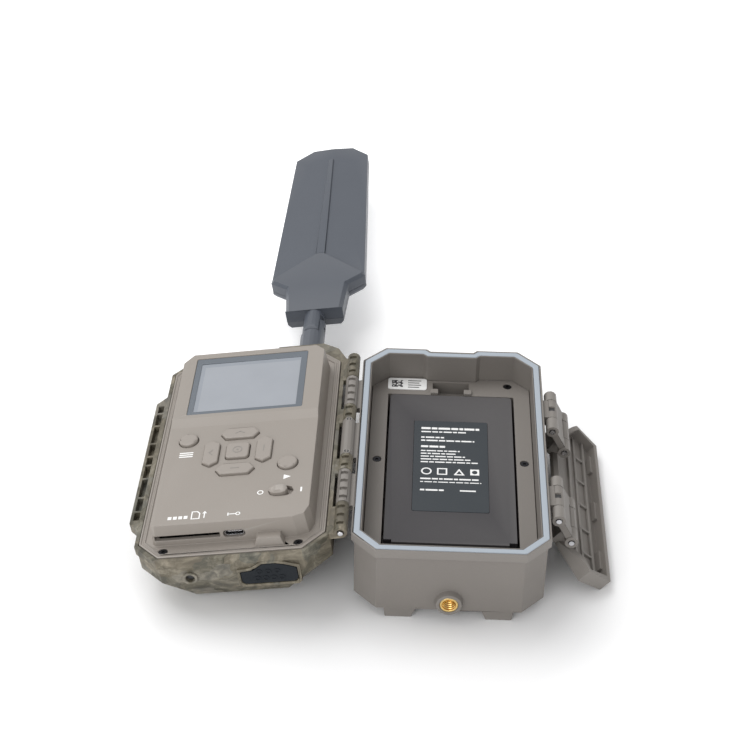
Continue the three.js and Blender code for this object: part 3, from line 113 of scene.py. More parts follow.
def modify(piece, kind, **settings):
    """Adds a modifier with the settings given and applies it."""
    pick(piece)
    modifier = piece.modifiers.new(kind.title(), kind)
    for name, value in settings.items():
        setattr(modifier, name, value)
    bpy.ops.object.modifier_apply(modifier=modifier.name)


def body_of(node):
    for body, members in frame["record"]["behaviour"]["bodies"].items():
        if node in members:
            return body
    raise ValueError(node)


# %% [markdown]
# ## Materials
# Moulded plastic is never quite one colour or quite smooth. The mould is spark-eroded, which leaves a fine
# grain, and the colour drifts a little across a large part. Sharp edges get a painted highlight, a paler
# tone mixed into their colour. Each of these effects is one node group, built once and used by many
# materials with their own values.

# %% Node helpers
def group_tree(name, inputs, outputs):
    tree = bpy.data.node_groups.new(name, "ShaderNodeTree")
    for label, kind in inputs:
        tree.interface.new_socket(label, in_out="INPUT", socket_type=kind)
    for label, kind in outputs:
        tree.interface.new_socket(label, in_out="OUTPUT", socket_type=kind)
    return tree, tree.nodes.new("NodeGroupInput"), tree.nodes.new("NodeGroupOutput")


def add(tree, kind, links=(), **settings):
    """Adds a node; links are (input name or number, output socket or value)."""
    node = tree.nodes.new(kind)
    for name, value in settings.items():
        setattr(node, name, value)
    for key, value in links:
        if hasattr(value, "is_linked"):
            tree.links.new(value, node.inputs[key])
        else:
            node.inputs[key].default_value = value
    return node


def ramp(tree, factor, stops):
    """A colour ramp from (position, colour) stops."""
    node = add(tree, "ShaderNodeValToRGB", [(0, factor)])
    elements = node.color_ramp.elements
    while len(elements) < len(stops):
        elements.new(0.5)
    for element, (position, color) in zip(elements, stops):
        element.position = position
        element.color = (*color, 1)
    return node.outputs["Color"]


# %% The grain group: a fine bump and a roughness that wanders
grain, grain_in, grain_out = group_tree(
    "Moulded grain",
    [("Grain per metre", "NodeSocketFloat"), ("Depth", "NodeSocketFloat"), ("Roughness", "NodeSocketFloat")],
    [("Normal", "NodeSocketVector"), ("Roughness", "NodeSocketFloat")],
)
place = add(grain, "ShaderNodeTexCoord").outputs["Object"]
fine = add(grain, "ShaderNodeTexNoise", [
    ("Vector", place), ("Scale", grain_in.outputs["Grain per metre"]), ("Detail", 3), ("Roughness", 0.6),
])
pits = add(grain, "ShaderNodeTexVoronoi", [
    ("Vector", place), ("Scale", grain_in.outputs["Grain per metre"]),
])
height = add(grain, "ShaderNodeMath", [
    (0, fine.outputs["Fac"]), (1, pits.outputs["Distance"]),
], operation="ADD")
bump = add(grain, "ShaderNodeBump", [
    ("Height", height.outputs[0]), ("Strength", grain_in.outputs["Depth"]), ("Distance", 0.0001),
])
drift = add(grain, "ShaderNodeTexNoise", [("Vector", place), ("Scale", 55), ("Detail", 4)])
wander = add(grain, "ShaderNodeMath", [(0, drift.outputs["Fac"]), (1, 0.12)], operation="MULTIPLY")
rough = add(grain, "ShaderNodeMath", [
    (0, wander.outputs[0]), (1, grain_in.outputs["Roughness"]),
], operation="ADD")
grain.links.new(bump.outputs["Normal"], grain_out.inputs["Normal"])
grain.links.new(rough.outputs[0], grain_out.inputs["Roughness"])

# %% [markdown]
# The colour drifts at two sizes at once, as a broad cloud and as a fine speck, and both change only how
# light it is. Pointiness finds the sharp corners of the mesh, and a pale tone is mixed in there as a
# painted highlight.

# %% The tint group: a colour that drifts, with a painted highlight on sharp edges
tint, tint_in, tint_out = group_tree(
    "Drifting tint and edge highlight",
    [("Color", "NodeSocketColor"), ("Drift", "NodeSocketFloat"), ("Edge highlight", "NodeSocketFloat")],
    [("Color", "NodeSocketColor")],
)
place = add(tint, "ShaderNodeTexCoord").outputs["Object"]
cloud = add(tint, "ShaderNodeTexNoise", [
    ("Vector", place), ("Scale", 38), ("Detail", 5), ("Roughness", 0.55),
])
speck = add(tint, "ShaderNodeTexNoise", [("Vector", place), ("Scale", 2600), ("Detail", 2)])
both = add(tint, "ShaderNodeMath", [(0, cloud.outputs["Fac"]), (1, speck.outputs["Fac"])], operation="ADD")
centred = add(tint, "ShaderNodeMath", [(0, both.outputs[0]), (1, 1.0)], operation="SUBTRACT")
swing = add(tint, "ShaderNodeMath", [
    (0, centred.outputs[0]), (1, tint_in.outputs["Drift"]),
], operation="MULTIPLY")
value = add(tint, "ShaderNodeMath", [(0, swing.outputs[0]), (1, 1.0)], operation="ADD")
drifted = add(tint, "ShaderNodeHueSaturation", [
    ("Value", value.outputs[0]), ("Color", tint_in.outputs["Color"]),
])
sharp = add(tint, "ShaderNodeNewGeometry").outputs["Pointiness"]
highlight_mask = add(tint, "ShaderNodeMapRange", [("Value", sharp), ("From Min", 0.52), ("From Max", 0.62)])
highlight_amount = add(tint, "ShaderNodeMath", [
    (0, highlight_mask.outputs[0]), (1, tint_in.outputs["Edge highlight"]),
], operation="MULTIPLY")
# The pale colour mixed in here is a painted highlight on the sharp edges.
edge_highlighted = add(tint, "ShaderNodeMix", [
    (0, highlight_amount.outputs[0]), (6, drifted.outputs["Color"]), (7, (0.8, 0.78, 0.74, 1)),
], data_type="RGBA")
tint.links.new(edge_highlighted.outputs[2], tint_out.inputs["Color"])

# %% [markdown]
# The camouflage of the camera half is printed on by water transfer. It shows bark in olive, tan and grey
# with darker cracks. Noise that is stretched along the case makes the bark, and a warped cell pattern makes
# the leaves and patches over it.

# %% The camouflage group
camo, camo_in, camo_out = group_tree(
    "Bark camouflage", [("Patch scale", "NodeSocketFloat")],
    [("Color", "NodeSocketColor"), ("Relief", "NodeSocketFloat")],
)
place = add(camo, "ShaderNodeTexCoord").outputs["Object"]
warp = add(camo, "ShaderNodeTexNoise", [("Vector", place), ("Scale", 45), ("Detail", 3)])
spread = add(camo, "ShaderNodeVectorMath", [
    (0, warp.outputs["Color"]), (1, (0.03, 0.03, 0.03)),
], operation="MULTIPLY")
bent = add(camo, "ShaderNodeVectorMath", [(0, place), (1, spread.outputs[0])], operation="ADD")
stretched = add(camo, "ShaderNodeMapping", [("Vector", bent.outputs[0]), ("Scale", (2.4, 0.55, 2.4))])
bark = add(camo, "ShaderNodeTexNoise", [
    ("Vector", stretched.outputs[0]), ("Scale", 90), ("Detail", 8), ("Roughness", 0.62),
])
patch = add(camo, "ShaderNodeTexVoronoi", [
    ("Vector", bent.outputs[0]), ("Scale", camo_in.outputs["Patch scale"]),
])
tone = add(camo, "ShaderNodeSeparateColor", [("Color", patch.outputs["Color"])])
base = ramp(camo, tone.outputs[0], [
    (0.0, (0.060, 0.058, 0.036)), (0.3, (0.150, 0.132, 0.092)), (0.55, (0.215, 0.183, 0.130)),
    (0.78, (0.100, 0.105, 0.085)), (1.0, (0.255, 0.235, 0.200)),
])
streaks = ramp(camo, bark.outputs["Fac"], [
    (0.38, (0.014, 0.012, 0.009)), (0.47, (0.080, 0.070, 0.048)), (0.55, (0.165, 0.145, 0.108)),
    (0.66, (0.31, 0.28, 0.22)),
])
printed = add(camo, "ShaderNodeMix", [(0, 0.5), (6, base), (7, streaks)], data_type="RGBA")
camo.links.new(printed.outputs[2], camo_out.inputs["Color"])
camo.links.new(bark.outputs["Fac"], camo_out.inputs["Relief"])
print("groups", [group.name for group in bpy.data.node_groups])


# %% [markdown]
# Every finish is one Principled shader. Its steady values are set on its own sockets, and only what changes
# over the surface comes from the groups.

# %% Material maker
def plain_material(name, roughness=0.5, **shader_values):
    """A material with one Principled BSDF whose steady values are set on its own sockets."""
    material = bpy.data.materials.new(name)
    material.use_nodes = True
    shader = material.node_tree.nodes["Principled BSDF"]
    shader.inputs["Roughness"].default_value = roughness
    for label, value in shader_values.items():
        shader.inputs[label.replace("_", " ")].default_value = value
    return material, material.node_tree, shader


def moulded(name, color, roughness, grain_scale=2200, depth=0.25, drift=0.10, edge=0.12, **shader_values):
    """Plastic or rubber from a grained mould, with a painted highlight on its sharp edges."""
    material, tree, shader = plain_material(name, roughness, **shader_values)
    hue = add(tree, "ShaderNodeGroup", node_tree=tint)
    hue.inputs["Color"].default_value = (*color, 1)
    hue.inputs["Drift"].default_value = drift
    # The edge value sets how strong the painted highlight on the sharp edges is.
    hue.inputs["Edge highlight"].default_value = edge
    skin = add(tree, "ShaderNodeGroup", node_tree=grain)
    skin.inputs["Grain per metre"].default_value = grain_scale
    skin.inputs["Depth"].default_value = depth
    skin.inputs["Roughness"].default_value = roughness - 0.06
    tree.links.new(hue.outputs["Color"], shader.inputs["Base Color"])
    tree.links.new(skin.outputs["Normal"], shader.inputs["Normal"])
    tree.links.new(skin.outputs["Roughness"], shader.inputs["Roughness"])
    return material


# %% Plastics and rubbers
finish = {
    "case_plastic": moulded("case taupe plastic", (0.193, 0.176, 0.160), 0.55),
    "panel_plastic": moulded("panel taupe plastic", (0.275, 0.246, 0.218), 0.5, drift=0.06),
    "key_plastic": moulded("key taupe plastic", (0.284, 0.253, 0.225), 0.42, depth=0.15, drift=0.05),
    "gasket_rubber": moulded("gasket silicone", (0.36, 0.405, 0.455), 0.42, 900, 0.08, 0.05, 0.0,
                             Sheen_Weight=0.2),
    "print_white": moulded("white print", (0.86, 0.86, 0.85), 0.5, 3000, 0.05, 0.03, 0.0),
    "print_ink": moulded("black print", (0.03, 0.03, 0.035), 0.5, 3000, 0.05, 0.03, 0.0),
    "key_mark": moulded("key mark plastic", (0.15, 0.135, 0.12), 0.5, depth=0.1, drift=0.04),
    "plug_rubber": moulded("plug rubber", (0.012, 0.015, 0.019), 0.7, 1800, 0.3, 0.15, 0.0,
                           Specular_IOR_Level=0.25),
    "battery_plastic": moulded("battery plastic", (0.037, 0.034, 0.038), 0.52, 2600, 0.3, 0.08, 0.06),
    "slate_label": moulded("label film", (0.026, 0.033, 0.040), 0.38, 4000, 0.06, 0.04, 0.0),
    "white_label": moulded("label paper", (0.80, 0.80, 0.79), 0.6, 3000, 0.1, 0.03, 0.0),
    "antenna_plastic": moulded("antenna slate plastic", (0.070, 0.080, 0.099), 0.46, 2600, 0.22, 0.10, 0.10),
    "black_plastic": moulded("black plastic", (0.016, 0.016, 0.018), 0.4, 2600, 0.2, 0.15, 0.03),
    "sensor_lens": moulded("sensor film", (0.72, 0.71, 0.66), 0.45, 1500, 0.1, 0.05, 0.0,
                           Subsurface_Weight=0.2),
    "circuit_board": moulded("solder mask", (0.02, 0.10, 0.045), 0.35, 1200, 0.15, 0.3, 0.0,
                             Coat_Weight=0.5),
}

# %% [markdown]
# The camouflaged plastic is the same moulding under a printed film: the print gives the colour, and the
# bark lines also give a shallow relief.

# %% Camouflage material
def camouflage():
    material, tree, shader = plain_material("camouflage plastic", 0.55)
    pattern = add(tree, "ShaderNodeGroup", node_tree=camo)
    pattern.inputs["Patch scale"].default_value = 95
    skin = add(tree, "ShaderNodeGroup", node_tree=grain)
    skin.inputs["Grain per metre"].default_value = 1800
    skin.inputs["Depth"].default_value = 0.35
    skin.inputs["Roughness"].default_value = 0.5
    relief = add(tree, "ShaderNodeBump", [
        ("Height", pattern.outputs["Relief"]), ("Normal", skin.outputs["Normal"]),
        ("Strength", 0.35), ("Distance", 0.0006),
    ])
    tree.links.new(pattern.outputs["Color"], shader.inputs["Base Color"])
    tree.links.new(skin.outputs["Roughness"], shader.inputs["Roughness"])
    tree.links.new(relief.outputs["Normal"], shader.inputs["Normal"])
    return material


finish["camo_plastic"] = camouflage()


# %% [markdown]
# Bare metal is smooth, so its life is in its reflections. Fine turning marks vary the colour and the gloss
# together. The pins are bright steel, the screws are blackened, and the tripod insert and the antenna's
# connector are brass.

# %% Metals
def metal(name, color, roughness, scratch=700):
    """Metal with fine turning marks in its gloss."""
    material, tree, shader = plain_material(name, roughness, Metallic=1.0)
    place = add(tree, "ShaderNodeTexCoord").outputs["Object"]
    marks = add(tree, "ShaderNodeTexNoise", [("Vector", place), ("Scale", scratch), ("Detail", 6)])
    hue = ramp(tree, marks.outputs["Fac"], [(0.3, [c * 0.82 for c in color]), (0.7, color)])
    gloss = add(tree, "ShaderNodeMapRange", [
        ("Value", marks.outputs["Fac"]), ("To Min", roughness * 0.7), ("To Max", roughness * 1.4),
    ])
    tree.links.new(hue, shader.inputs["Base Color"])
    tree.links.new(gloss.outputs[0], shader.inputs["Roughness"])
    return material


finish["steel"] = metal("pin steel", (0.66, 0.66, 0.68), 0.25)
finish["brass"] = metal("gilded brass", (0.93, 0.66, 0.26), 0.22)
finish["black_screws"] = metal("blackened screw steel", (0.045, 0.045, 0.05), 0.4)


# %% [markdown]
# ## Glossy pieces
# The screen window is clear plastic over a grey printed border, the lamp window is dark plastic that lets
# only infrared through, and the lens is coated glass. All three have a smooth clear coat over a darker
# layer.

# %% Glossy materials
def glossy(name, color, roughness, haze=60, **shader_values):
    material, tree, shader = plain_material(name, roughness, **shader_values)
    place = add(tree, "ShaderNodeTexCoord").outputs["Object"]
    cloud = add(tree, "ShaderNodeTexNoise", [("Vector", place), ("Scale", haze), ("Detail", 4)])
    hue = ramp(tree, cloud.outputs["Fac"], [(0.3, [c * 0.95 for c in color]), (0.7, color)])
    gloss = add(tree, "ShaderNodeMapRange", [
        ("Value", cloud.outputs["Fac"]), ("To Min", roughness), ("To Max", roughness + 0.06),
    ])
    tree.links.new(hue, shader.inputs["Base Color"])
    tree.links.new(gloss.outputs[0], shader.inputs["Roughness"])
    return material


finish["screen_border"] = glossy("screen border print", (0.115, 0.134, 0.158), 0.16, Coat_Weight=0.6)
finish["screen_ledge"] = glossy("screen ledge", (0.265, 0.288, 0.325), 0.2, Coat_Weight=0.5)
finish["screen_face"] = glossy("unlit screen", (0.318, 0.338, 0.372), 0.14, Coat_Weight=0.8)
finish["lamp_window"] = glossy("lamp window", (0.012, 0.008, 0.01), 0.06, Coat_Weight=1.0)
finish["lens_glass"] = glossy("lens glass", (0.02, 0.03, 0.045), 0.03, Coat_Weight=1.0)
print("materials", len(bpy.data.materials))


# %% [markdown]
# ## From CAD faces to moulded parts
# A CAD solid has knife-sharp edges and is stored as loose triangles. A real moulding has small rounds on
# every edge, and they are what catches the light. So each visible CAD node is copied, its doubled corners
# are merged, and a small bevel is put on the edges that are sharper than a limit. The limit is above the
# angle between the facets of a round boss, so those stay round. A long edge is bevelled even where it bends
# only a little, because it is the rim of a shallow step. The wide faces are marked as strong, so that they
# shade flat up to the bevel. The CAD node itself is hidden, and still carries the collision.

# %% Moulded copies
FACET_LIMIT = math.radians(36)
SHALLOW_BEND = math.radians(7)
LONG_EDGE = 9 * MM
SLIVER_WIDTH = 0.02 * MM


def finished(piece, body, material):
    """Says what a piece moves with and what it is made of."""
    piece.data.materials.clear()
    piece.data.materials.append(material)
    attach(piece, body)
    return piece


def merged_copy(node, name):
    """A copy of a CAD node, at the origin and with its doubled corners merged."""
    piece = frame["nodes"][node].copy()
    piece.data = piece.data.copy()
    piece.name = name
    bpy.context.collection.objects.link(piece)
    piece.parent = None
    piece.matrix_world = Matrix.Identity(4)
    piece.hide_render = False
    edit(piece, lambda: bpy.ops.mesh.remove_doubles(threshold=0.002 * MM))
    return piece


def soften(piece, radius, segments=2, limit=FACET_LIMIT):
    """Rounds the sharp edges and the long shallow ones, and shades the rest smooth."""
    mesh = bmesh.new()
    mesh.from_mesh(piece.data)
    weight = mesh.edges.layers.float.new("bevel_weight_edge")
    for edge in mesh.edges:
        bend = edge.calc_face_angle(0)
        length = edge.calc_length()
        smallest = min((face.calc_area() for face in edge.link_faces), default=0)
        sliver = smallest < SLIVER_WIDTH * length
        if not sliver and (bend > limit or (bend > SHALLOW_BEND and length > LONG_EDGE)):
            edge[weight] = 1
    mesh.to_mesh(piece.data)
    mesh.free()
    modify(
        piece, "BEVEL", width=radius, segments=segments, limit_method="WEIGHT",
        use_clamp_overlap=False, face_strength_mode="FSTR_ALL",
    )
    pick(piece)
    bpy.ops.object.shade_smooth_by_angle(angle=FACET_LIMIT)
    modify(piece, "WEIGHTED_NORMAL", keep_sharp=True, use_face_influence=True)


def moulding(node, material, radius=0.3 * MM, segments=2):
    """The moulded copy of one CAD node."""
    piece = merged_copy(node, f"{node}_moulding")
    soften(piece, radius, segments)
    finished(piece, body_of(node), material)
    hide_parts(node)
    return piece


# %% [markdown]
# The list gives each moulding's slot, its finish and the rounding of its edges in millimetres. The big
# shells come first. The battery and the labels have crisper edges, and the gasket is the softest.

# %% The shells
for node, slot, look, radius in [
    ("rear_case", "case_plastic", "case_plastic", 0.35),
    ("battery_liner", "case_plastic", "case_plastic", 0.3),
    ("front_housing", "camo_plastic", "camo_plastic", 0.25),
    ("control_panel", "panel_plastic", "panel_plastic", 0.3),
    ("latch_lever", "case_plastic", "case_plastic", 0.3),
    ("latch_link_upper", "case_plastic", "case_plastic", 0.15),
    ("latch_link_lower", "case_plastic", "case_plastic", 0.15),
    ("power_switch_knob", "panel_plastic", "key_plastic", 0.3),
    ("battery_pack", "battery_plastic", "battery_plastic", 0.2),
    ("battery_label", "slate_label", "slate_label", 0.05),
    ("serial_label", "white_label", "white_label", 0.05),
    ("port_plug", "plug_rubber", "plug_rubber", 0.3),
    ("rim_gasket", "gasket_rubber", "gasket_rubber", 0.6),
    ("antenna_swivel", "antenna_plastic", "antenna_plastic", 0.3),
    ("lens_bezel", "black_plastic", "black_plastic", 0.25),
    ("pir_lens", "sensor_lens", "sensor_lens", 0.2),
    ("ir_window", "lamp_window", "lamp_window", 0.3),
    ("lens_glass", "lens_glass", "lens_glass", 0.1),
    ("tripod_insert", "brass", "brass", 0.2),
    ("hinge_pin", "steel", "steel", 0.2),
    ("antenna_connector", "brass", "brass", 0.1),
]:
    made = moulding(node, finish[look], radius * MM)
    print(node, len(made.data.polygons), "faces")

# %% [markdown]
# The seven keys differ only in outline, so they share one rounding, with one more step in it because
# fingers and light both follow their rims.

# %% The keys
for node in sorted(name for name in frame["nodes"] if name.startswith("key_")):
    moulding(node, finish["key_plastic"], 0.35 * MM, 3)

# %% [markdown]
# ## Flat shapes
# Signs, badges and plates are all flat outlines with a thickness. Each could be a cube or a circle pulled
# about, but a filled 2D curve takes any outline, and an outline inside another one becomes a hole. The
# curve gives the thickness, and its mesh is then merged and moved to where the plate lies.

# %% Flat shape helpers
def bar(u, v, width, height):
    return [(u - width / 2, v - height / 2), (u + width / 2, v - height / 2),
            (u + width / 2, v + height / 2), (u - width / 2, v + height / 2)]


def disc(u, v, radius, sides=28):
    step = 2 * math.pi / sides
    return [(u + radius * math.cos(step * k), v + radius * math.sin(step * k)) for k in range(sides)]


def ring(u, v, radius, stroke):
    return [disc(u, v, radius), disc(u, v, radius - stroke)]


def stroke(start, end, width):
    """A straight line of the given width as an outline."""
    along = (Vector(end) - Vector(start)).normalized() * width / 2
    side = Vector((-along.y, along.x))
    a, b = Vector(start) - along, Vector(end) + along
    return [tuple(a - side), tuple(b - side), tuple(b + side), tuple(a + side)]


def flat_shape(name, loops, low, high, axes, rounding=0):
    """Fills outlines, in millimetres, between two heights of a set of axes."""
    curve = bpy.data.curves.new(name, "CURVE")
    curve.dimensions = "2D"
    curve.fill_mode = "BOTH"
    curve.extrude = ((high - low) / 2 - rounding) * MM
    curve.bevel_depth = rounding * MM
    curve.offset = -rounding * MM
    curve.bevel_resolution = 2
    for loop in loops:
        line = curve.splines.new("POLY")
        line.points.add(len(loop) - 1)
        for point, (x, y) in zip(line.points, loop):
            point.co = (x * MM, y * MM, 0, 1)
        line.use_cyclic_u = True
    shape = bpy.data.objects.new(name, curve)
    bpy.context.collection.objects.link(shape)
    pick(shape)
    bpy.ops.object.convert(target="MESH")
    shape = bpy.context.object
    shape.matrix_world = axes @ Matrix.Translation((0, 0, (low + high) / 2 * MM))
    settle(shape)
    edit(
        shape,
        lambda: bpy.ops.mesh.remove_doubles(threshold=0.0005 * MM),
        lambda: bpy.ops.mesh.normals_make_consistent(inside=False),
    )
    return shape


def joined(name, pieces):
    """Makes one object of several."""
    bpy.ops.object.select_all(action="DESELECT")
    for piece in pieces:
        piece.select_set(True)
    bpy.context.view_layer.objects.active = pieces[0]
    bpy.ops.object.join()
    pieces[0].name = name
    return pieces[0]


def printed(name, loops, height, body, axes=PANEL, material="print_white", thickness=0.04,
            slot="white_label"):
    """A sign that lies on a surface. Outlines that would cross are filled one by one."""
    shapes = []
    for count, group in enumerate(loops):
        outlines = group if isinstance(group[0], list) else [group]
        shapes.append(flat_shape(f"{name}_{count}", outlines, height, height + thickness, axes))
    return finished(joined(name, shapes), body, finish[material])


# %% [markdown]
# ## The antenna
# The paddle is moulded with facets: two blades slope down from a raised spine to thin edges, and a thicker
# neck plate ends in a point where the blades begin. The CAD has only its outline and thickness, so the
# faceted shell is built from convex blocks, one for each facet group, joined into one skin.

# %% Antenna facets
def convex_block(name, corners, axes):
    """The hull of a set of corners, in millimetres."""
    bpy.ops.mesh.primitive_cube_add(size=MM)
    block = bpy.context.object
    block.name = name
    bpy.ops.object.mode_set(mode="EDIT")
    mesh = bmesh.from_edit_mesh(block.data)
    bmesh.ops.delete(mesh, geom=list(mesh.verts), context="VERTS")
    for corner in corners:
        mesh.verts.new(Vector(corner) * MM)
    bmesh.update_edit_mesh(block.data)
    bpy.ops.mesh.select_all(action="SELECT")
    bpy.ops.mesh.convex_hull()
    bpy.ops.mesh.dissolve_limited(angle_limit=math.radians(0.5))
    bpy.ops.object.mode_set(mode="OBJECT")
    block.matrix_world = axes
    settle(block)
    return block


def both_faces(points, middle):
    """Each (u, v, rise) corner above and below the middle plane."""
    return [(ANTENNA_U + u, v, middle + side * rise) for u, v, rise in points for side in (-1, 1)]


def both_sides(points):
    return [(side * u, v, rise) for u, v, rise in points for side in (-1, 1)]


ANTENNA_U, ANTENNA_W = 22.5, -14.0
EDGE_RISE, SPINE_RISE, PLATE_RISE, CHAMFER_RISE = 3.5, 4.2, 5.35, 3.4
BLADE_START, BLADE_LENGTH, BLADE_HALF, BLADE_TAPER, BLADE_REACH = 157, 134.5, 25.7, 3.8, 23.2


def blade_rise(u, v):
    """The height of the flat blade, which climbs from its straight side edge to the spine."""
    side = BLADE_HALF - BLADE_TAPER * (v - BLADE_START) / BLADE_LENGTH
    return EDGE_RISE + (SPINE_RISE - EDGE_RISE) * (side - u) / BLADE_REACH


blade = convex_block("antenna_blades", both_faces(both_sides([
    (BLADE_HALF, BLADE_START, EDGE_RISE), (21.9, BLADE_START + BLADE_LENGTH, EDGE_RISE),
    (12, 303.4, 2.6), (1.0, 303.4, 3.2),
    (2.4, 160, blade_rise(2.4, 160)), (1.6, 290, blade_rise(1.6, 290)),
]), ANTENNA_W), PANEL)
spine = convex_block("antenna_spine", both_faces(both_sides([
    (2.5, 178, 5.2), (1.0, 287, 5.2), (3.0, 176, CHAMFER_RISE), (1.8, 288.6, CHAMFER_RISE),
]), ANTENNA_W), PANEL)
neck_root = convex_block("antenna_neck_root", both_faces(both_sides([
    (13.4, 125.1, PLATE_RISE), (15.2, 125.1, CHAMFER_RISE),
    (15.2, 149.6, PLATE_RISE), (17.0, 149.6, CHAMFER_RISE),
]), ANTENNA_W), PANEL)
neck_fan = convex_block("antenna_neck_fan", both_faces(both_sides([
    (15.2, 149.5, PLATE_RISE), (17.0, 149.5, CHAMFER_RISE),
    (23.9, 156.6, PLATE_RISE), (25.65, 156.2, CHAMFER_RISE),
    (24.2, 158.4, PLATE_RISE), (25.65, 158.6, CHAMFER_RISE),
    (1.8, 181, PLATE_RISE), (1.8, 182.2, CHAMFER_RISE),
]), ANTENNA_W), PANEL)
print("antenna blocks", [len(block.data.polygons) for block in (blade, spine, neck_root, neck_fan)])

# %% [markdown]
# The four blocks become one skin. A groove follows the point of the neck plate on both faces, and the skin
# is then cut into the two covers along their seam.

# %% Antenna skin
for block in (spine, neck_root, neck_fan):
    modify(blade, "BOOLEAN", operation="UNION", solver="EXACT", object=block)
    bpy.data.objects.remove(block)
for across, face in [(1, 1), (-1, 1), (1, -1), (-1, -1)]:
    groove = convex_block("antenna_groove", [
        (ANTENNA_U + across * u, v, ANTENNA_W + face * w)
        for u, v in [(2.4, 180.3), (2.4, 181.6), (25.0, 158.0), (25.0, 159.2)] for w in (2.7, 6.0)
    ], PANEL)
    modify(blade, "BOOLEAN", operation="DIFFERENCE", solver="EXACT", object=groove)
    bpy.data.objects.remove(groove)
edit(
    blade,
    lambda: bpy.ops.mesh.remove_doubles(threshold=0.03 * MM),
    lambda: bpy.ops.mesh.dissolve_degenerate(threshold=0.03 * MM),
    lambda: bpy.ops.mesh.dissolve_limited(angle_limit=math.radians(1)),
)
SEAM_DROP, SEAM_GAP = 1.6, 0.12
for cover, side in [("back", 1), ("front", -1)]:
    shell = blade.copy()
    shell.data = blade.data.copy()
    shell.name = f"antenna_{cover}_shell"
    bpy.context.collection.objects.link(shell)
    seam = PANEL @ Vector((ANTENNA_U * MM, 0, (ANTENNA_W - SEAM_DROP + side * SEAM_GAP / 2) * MM))
    edit(shell, lambda: bpy.ops.mesh.bisect(
        plane_co=seam, plane_no=side * w_axis, use_fill=True, clear_inner=True,
    ))
    soften(shell, 0.2 * MM, 2, math.radians(10))
    finished(shell, "antenna_paddle", finish["antenna_plastic"])
bpy.data.objects.remove(blade)

# %% [markdown]
# The yoke of the elbow is a separate moulding in the CAD covers. It is cut from the back cover's copy, so
# that it keeps its fork and its bore, and everything beyond the paddle's near end is thrown away.

# %% Antenna elbow
yoke = merged_copy("antenna_cover_back", "antenna_elbow_yoke")
paddle_near = PANEL @ Vector((ANTENNA_U * MM, 125.4 * MM, ANTENNA_W * MM))
edit(yoke, lambda: bpy.ops.mesh.bisect(
    plane_co=paddle_near, plane_no=PANEL.to_3x3() @ Vector((0, 1, 0)), use_fill=True, clear_outer=True,
))
soften(yoke, 0.25 * MM, 2)
finished(yoke, "antenna_paddle", finish["antenna_plastic"])
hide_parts("antenna_cover_back", "antenna_element")
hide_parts("antenna_cover_front")

# %% [markdown]
# ## The screen
# The window is a clear sheet with a dark printed frame. Behind it the screen sits deeper, so a pale ledge
# shows along its far and left edges. Three thin plates make this: the frame, the ledge and the screen's
# face.

# %% Screen plates
WINDOW_TOP, WINDOW_THICKNESS = 12.15, 0.75
window_low = WINDOW_TOP - WINDOW_THICKNESS
frame_outline = bar(0, 35.5, 55.3, 44.8)
opening = bar(-0.2, 34.6, 49.6, 38.4)
border = flat_shape("screen_border", [frame_outline, opening], window_low, WINDOW_TOP, PANEL, 0.08)
finished(border, "housing", finish["screen_border"])
ledge = flat_shape("screen_ledge", [bar(-0.2, 34.6, 50.4, 39.2)], window_low, WINDOW_TOP - 0.32, PANEL)
finished(ledge, "housing", finish["screen_ledge"])
face = flat_shape(
    "screen_face", [bar(0.8, 33.2, 47.4, 35.6)], WINDOW_TOP - 0.4, WINDOW_TOP - 0.24, PANEL, 0.03,
)
finished(face, "housing", finish["screen_face"])
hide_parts("lcd_window")
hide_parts("lcd_module")

# %% [markdown]
# ## Printed signs
# Beside the keys and sockets are small pale prints. Generic signs stand for the words: three lines for the
# menu, a triangle for start, a ring and a line for the two ends of the power switch, four blocks and a card
# with an arrow for the card slot, and a plug for the socket.

# %% Panel signs
PRINT_W = 10.985
panel_signs = [bar(-24.4, v, 6.4, 0.7) for v in (-14.0, -15.4, -16.8)]
panel_signs.append([(22.9, -38.1), (26.2, -36.5), (22.9, -34.9)])
panel_signs.append(ring(13.2, -46.2, 1.45, 0.5))
panel_signs.append(bar(31.6, -46.0, 0.8, 3.0))
panel_signs.extend(bar(-26.2 + 2.4 * k, -59.4, 1.7, 1.9) for k in range(4))
card = [(-16.6, -61.0), (-12.6, -61.0), (-12.6, -57.2), (-13.9, -55.8), (-16.6, -55.8)]
inner_card = [(-16.1, -60.5), (-13.1, -60.5), (-13.1, -57.5), (-14.2, -56.3), (-16.1, -56.3)]
panel_signs.append([card, inner_card])
panel_signs.append([(-10.9, -60.6), (-10.4, -60.6), (-10.4, -57.6), (-9.6, -57.6), (-10.65, -56.0),
                    (-11.7, -57.6), (-10.9, -57.6)])
panel_signs.append(ring(4.4, -59.3, 1.1, 0.45))
panel_signs.append(bar(1.6, -59.3, 3.4, 0.5))
panel_signs.append(bar(0.0, -59.3, 0.6, 1.9))
printed("panel_signs", panel_signs, PRINT_W, "housing")

# %% [markdown]
# The marks on the keys are moulded in a darker plastic than the caps. Each one rides on its own key, so
# that it sinks with it.

# %% Key signs
KEY_W = 12.27
chevrons = {
    "key_up": [((-2.2, -3.7), (-0.1, -2.5)), ((-0.1, -2.5), (2.0, -3.7))],
    "key_down": [((-2.0, -29.0), (1.8, -29.0))],
    "key_left": [((-11.7, -14.8), (-13.1, -16.6)), ((-13.1, -16.6), (-11.7, -18.4))],
    "key_right": [((12.2, -14.1), (12.2, -17.9))],
}
for key, lines in chevrons.items():
    printed(f"{key}_sign", [stroke(a, b, 0.42) for a, b in lines], KEY_W, key,
            material="key_mark", thickness=0.10, slot="panel_plastic")
printed("key_ok_sign", [ring(-0.1, -15.8, 2.3, 0.45), disc(-0.1, -15.8, 0.55)], KEY_W, "key_ok",
        material="key_mark", thickness=0.10, slot="panel_plastic")

# %% [markdown]
# ## Labels
# The battery's label is dark film with small white print. Rows of bars stand for its lines of text, and a
# row of plain shapes for its marks. The white sticker beside it has a block of squares and four grey lines.

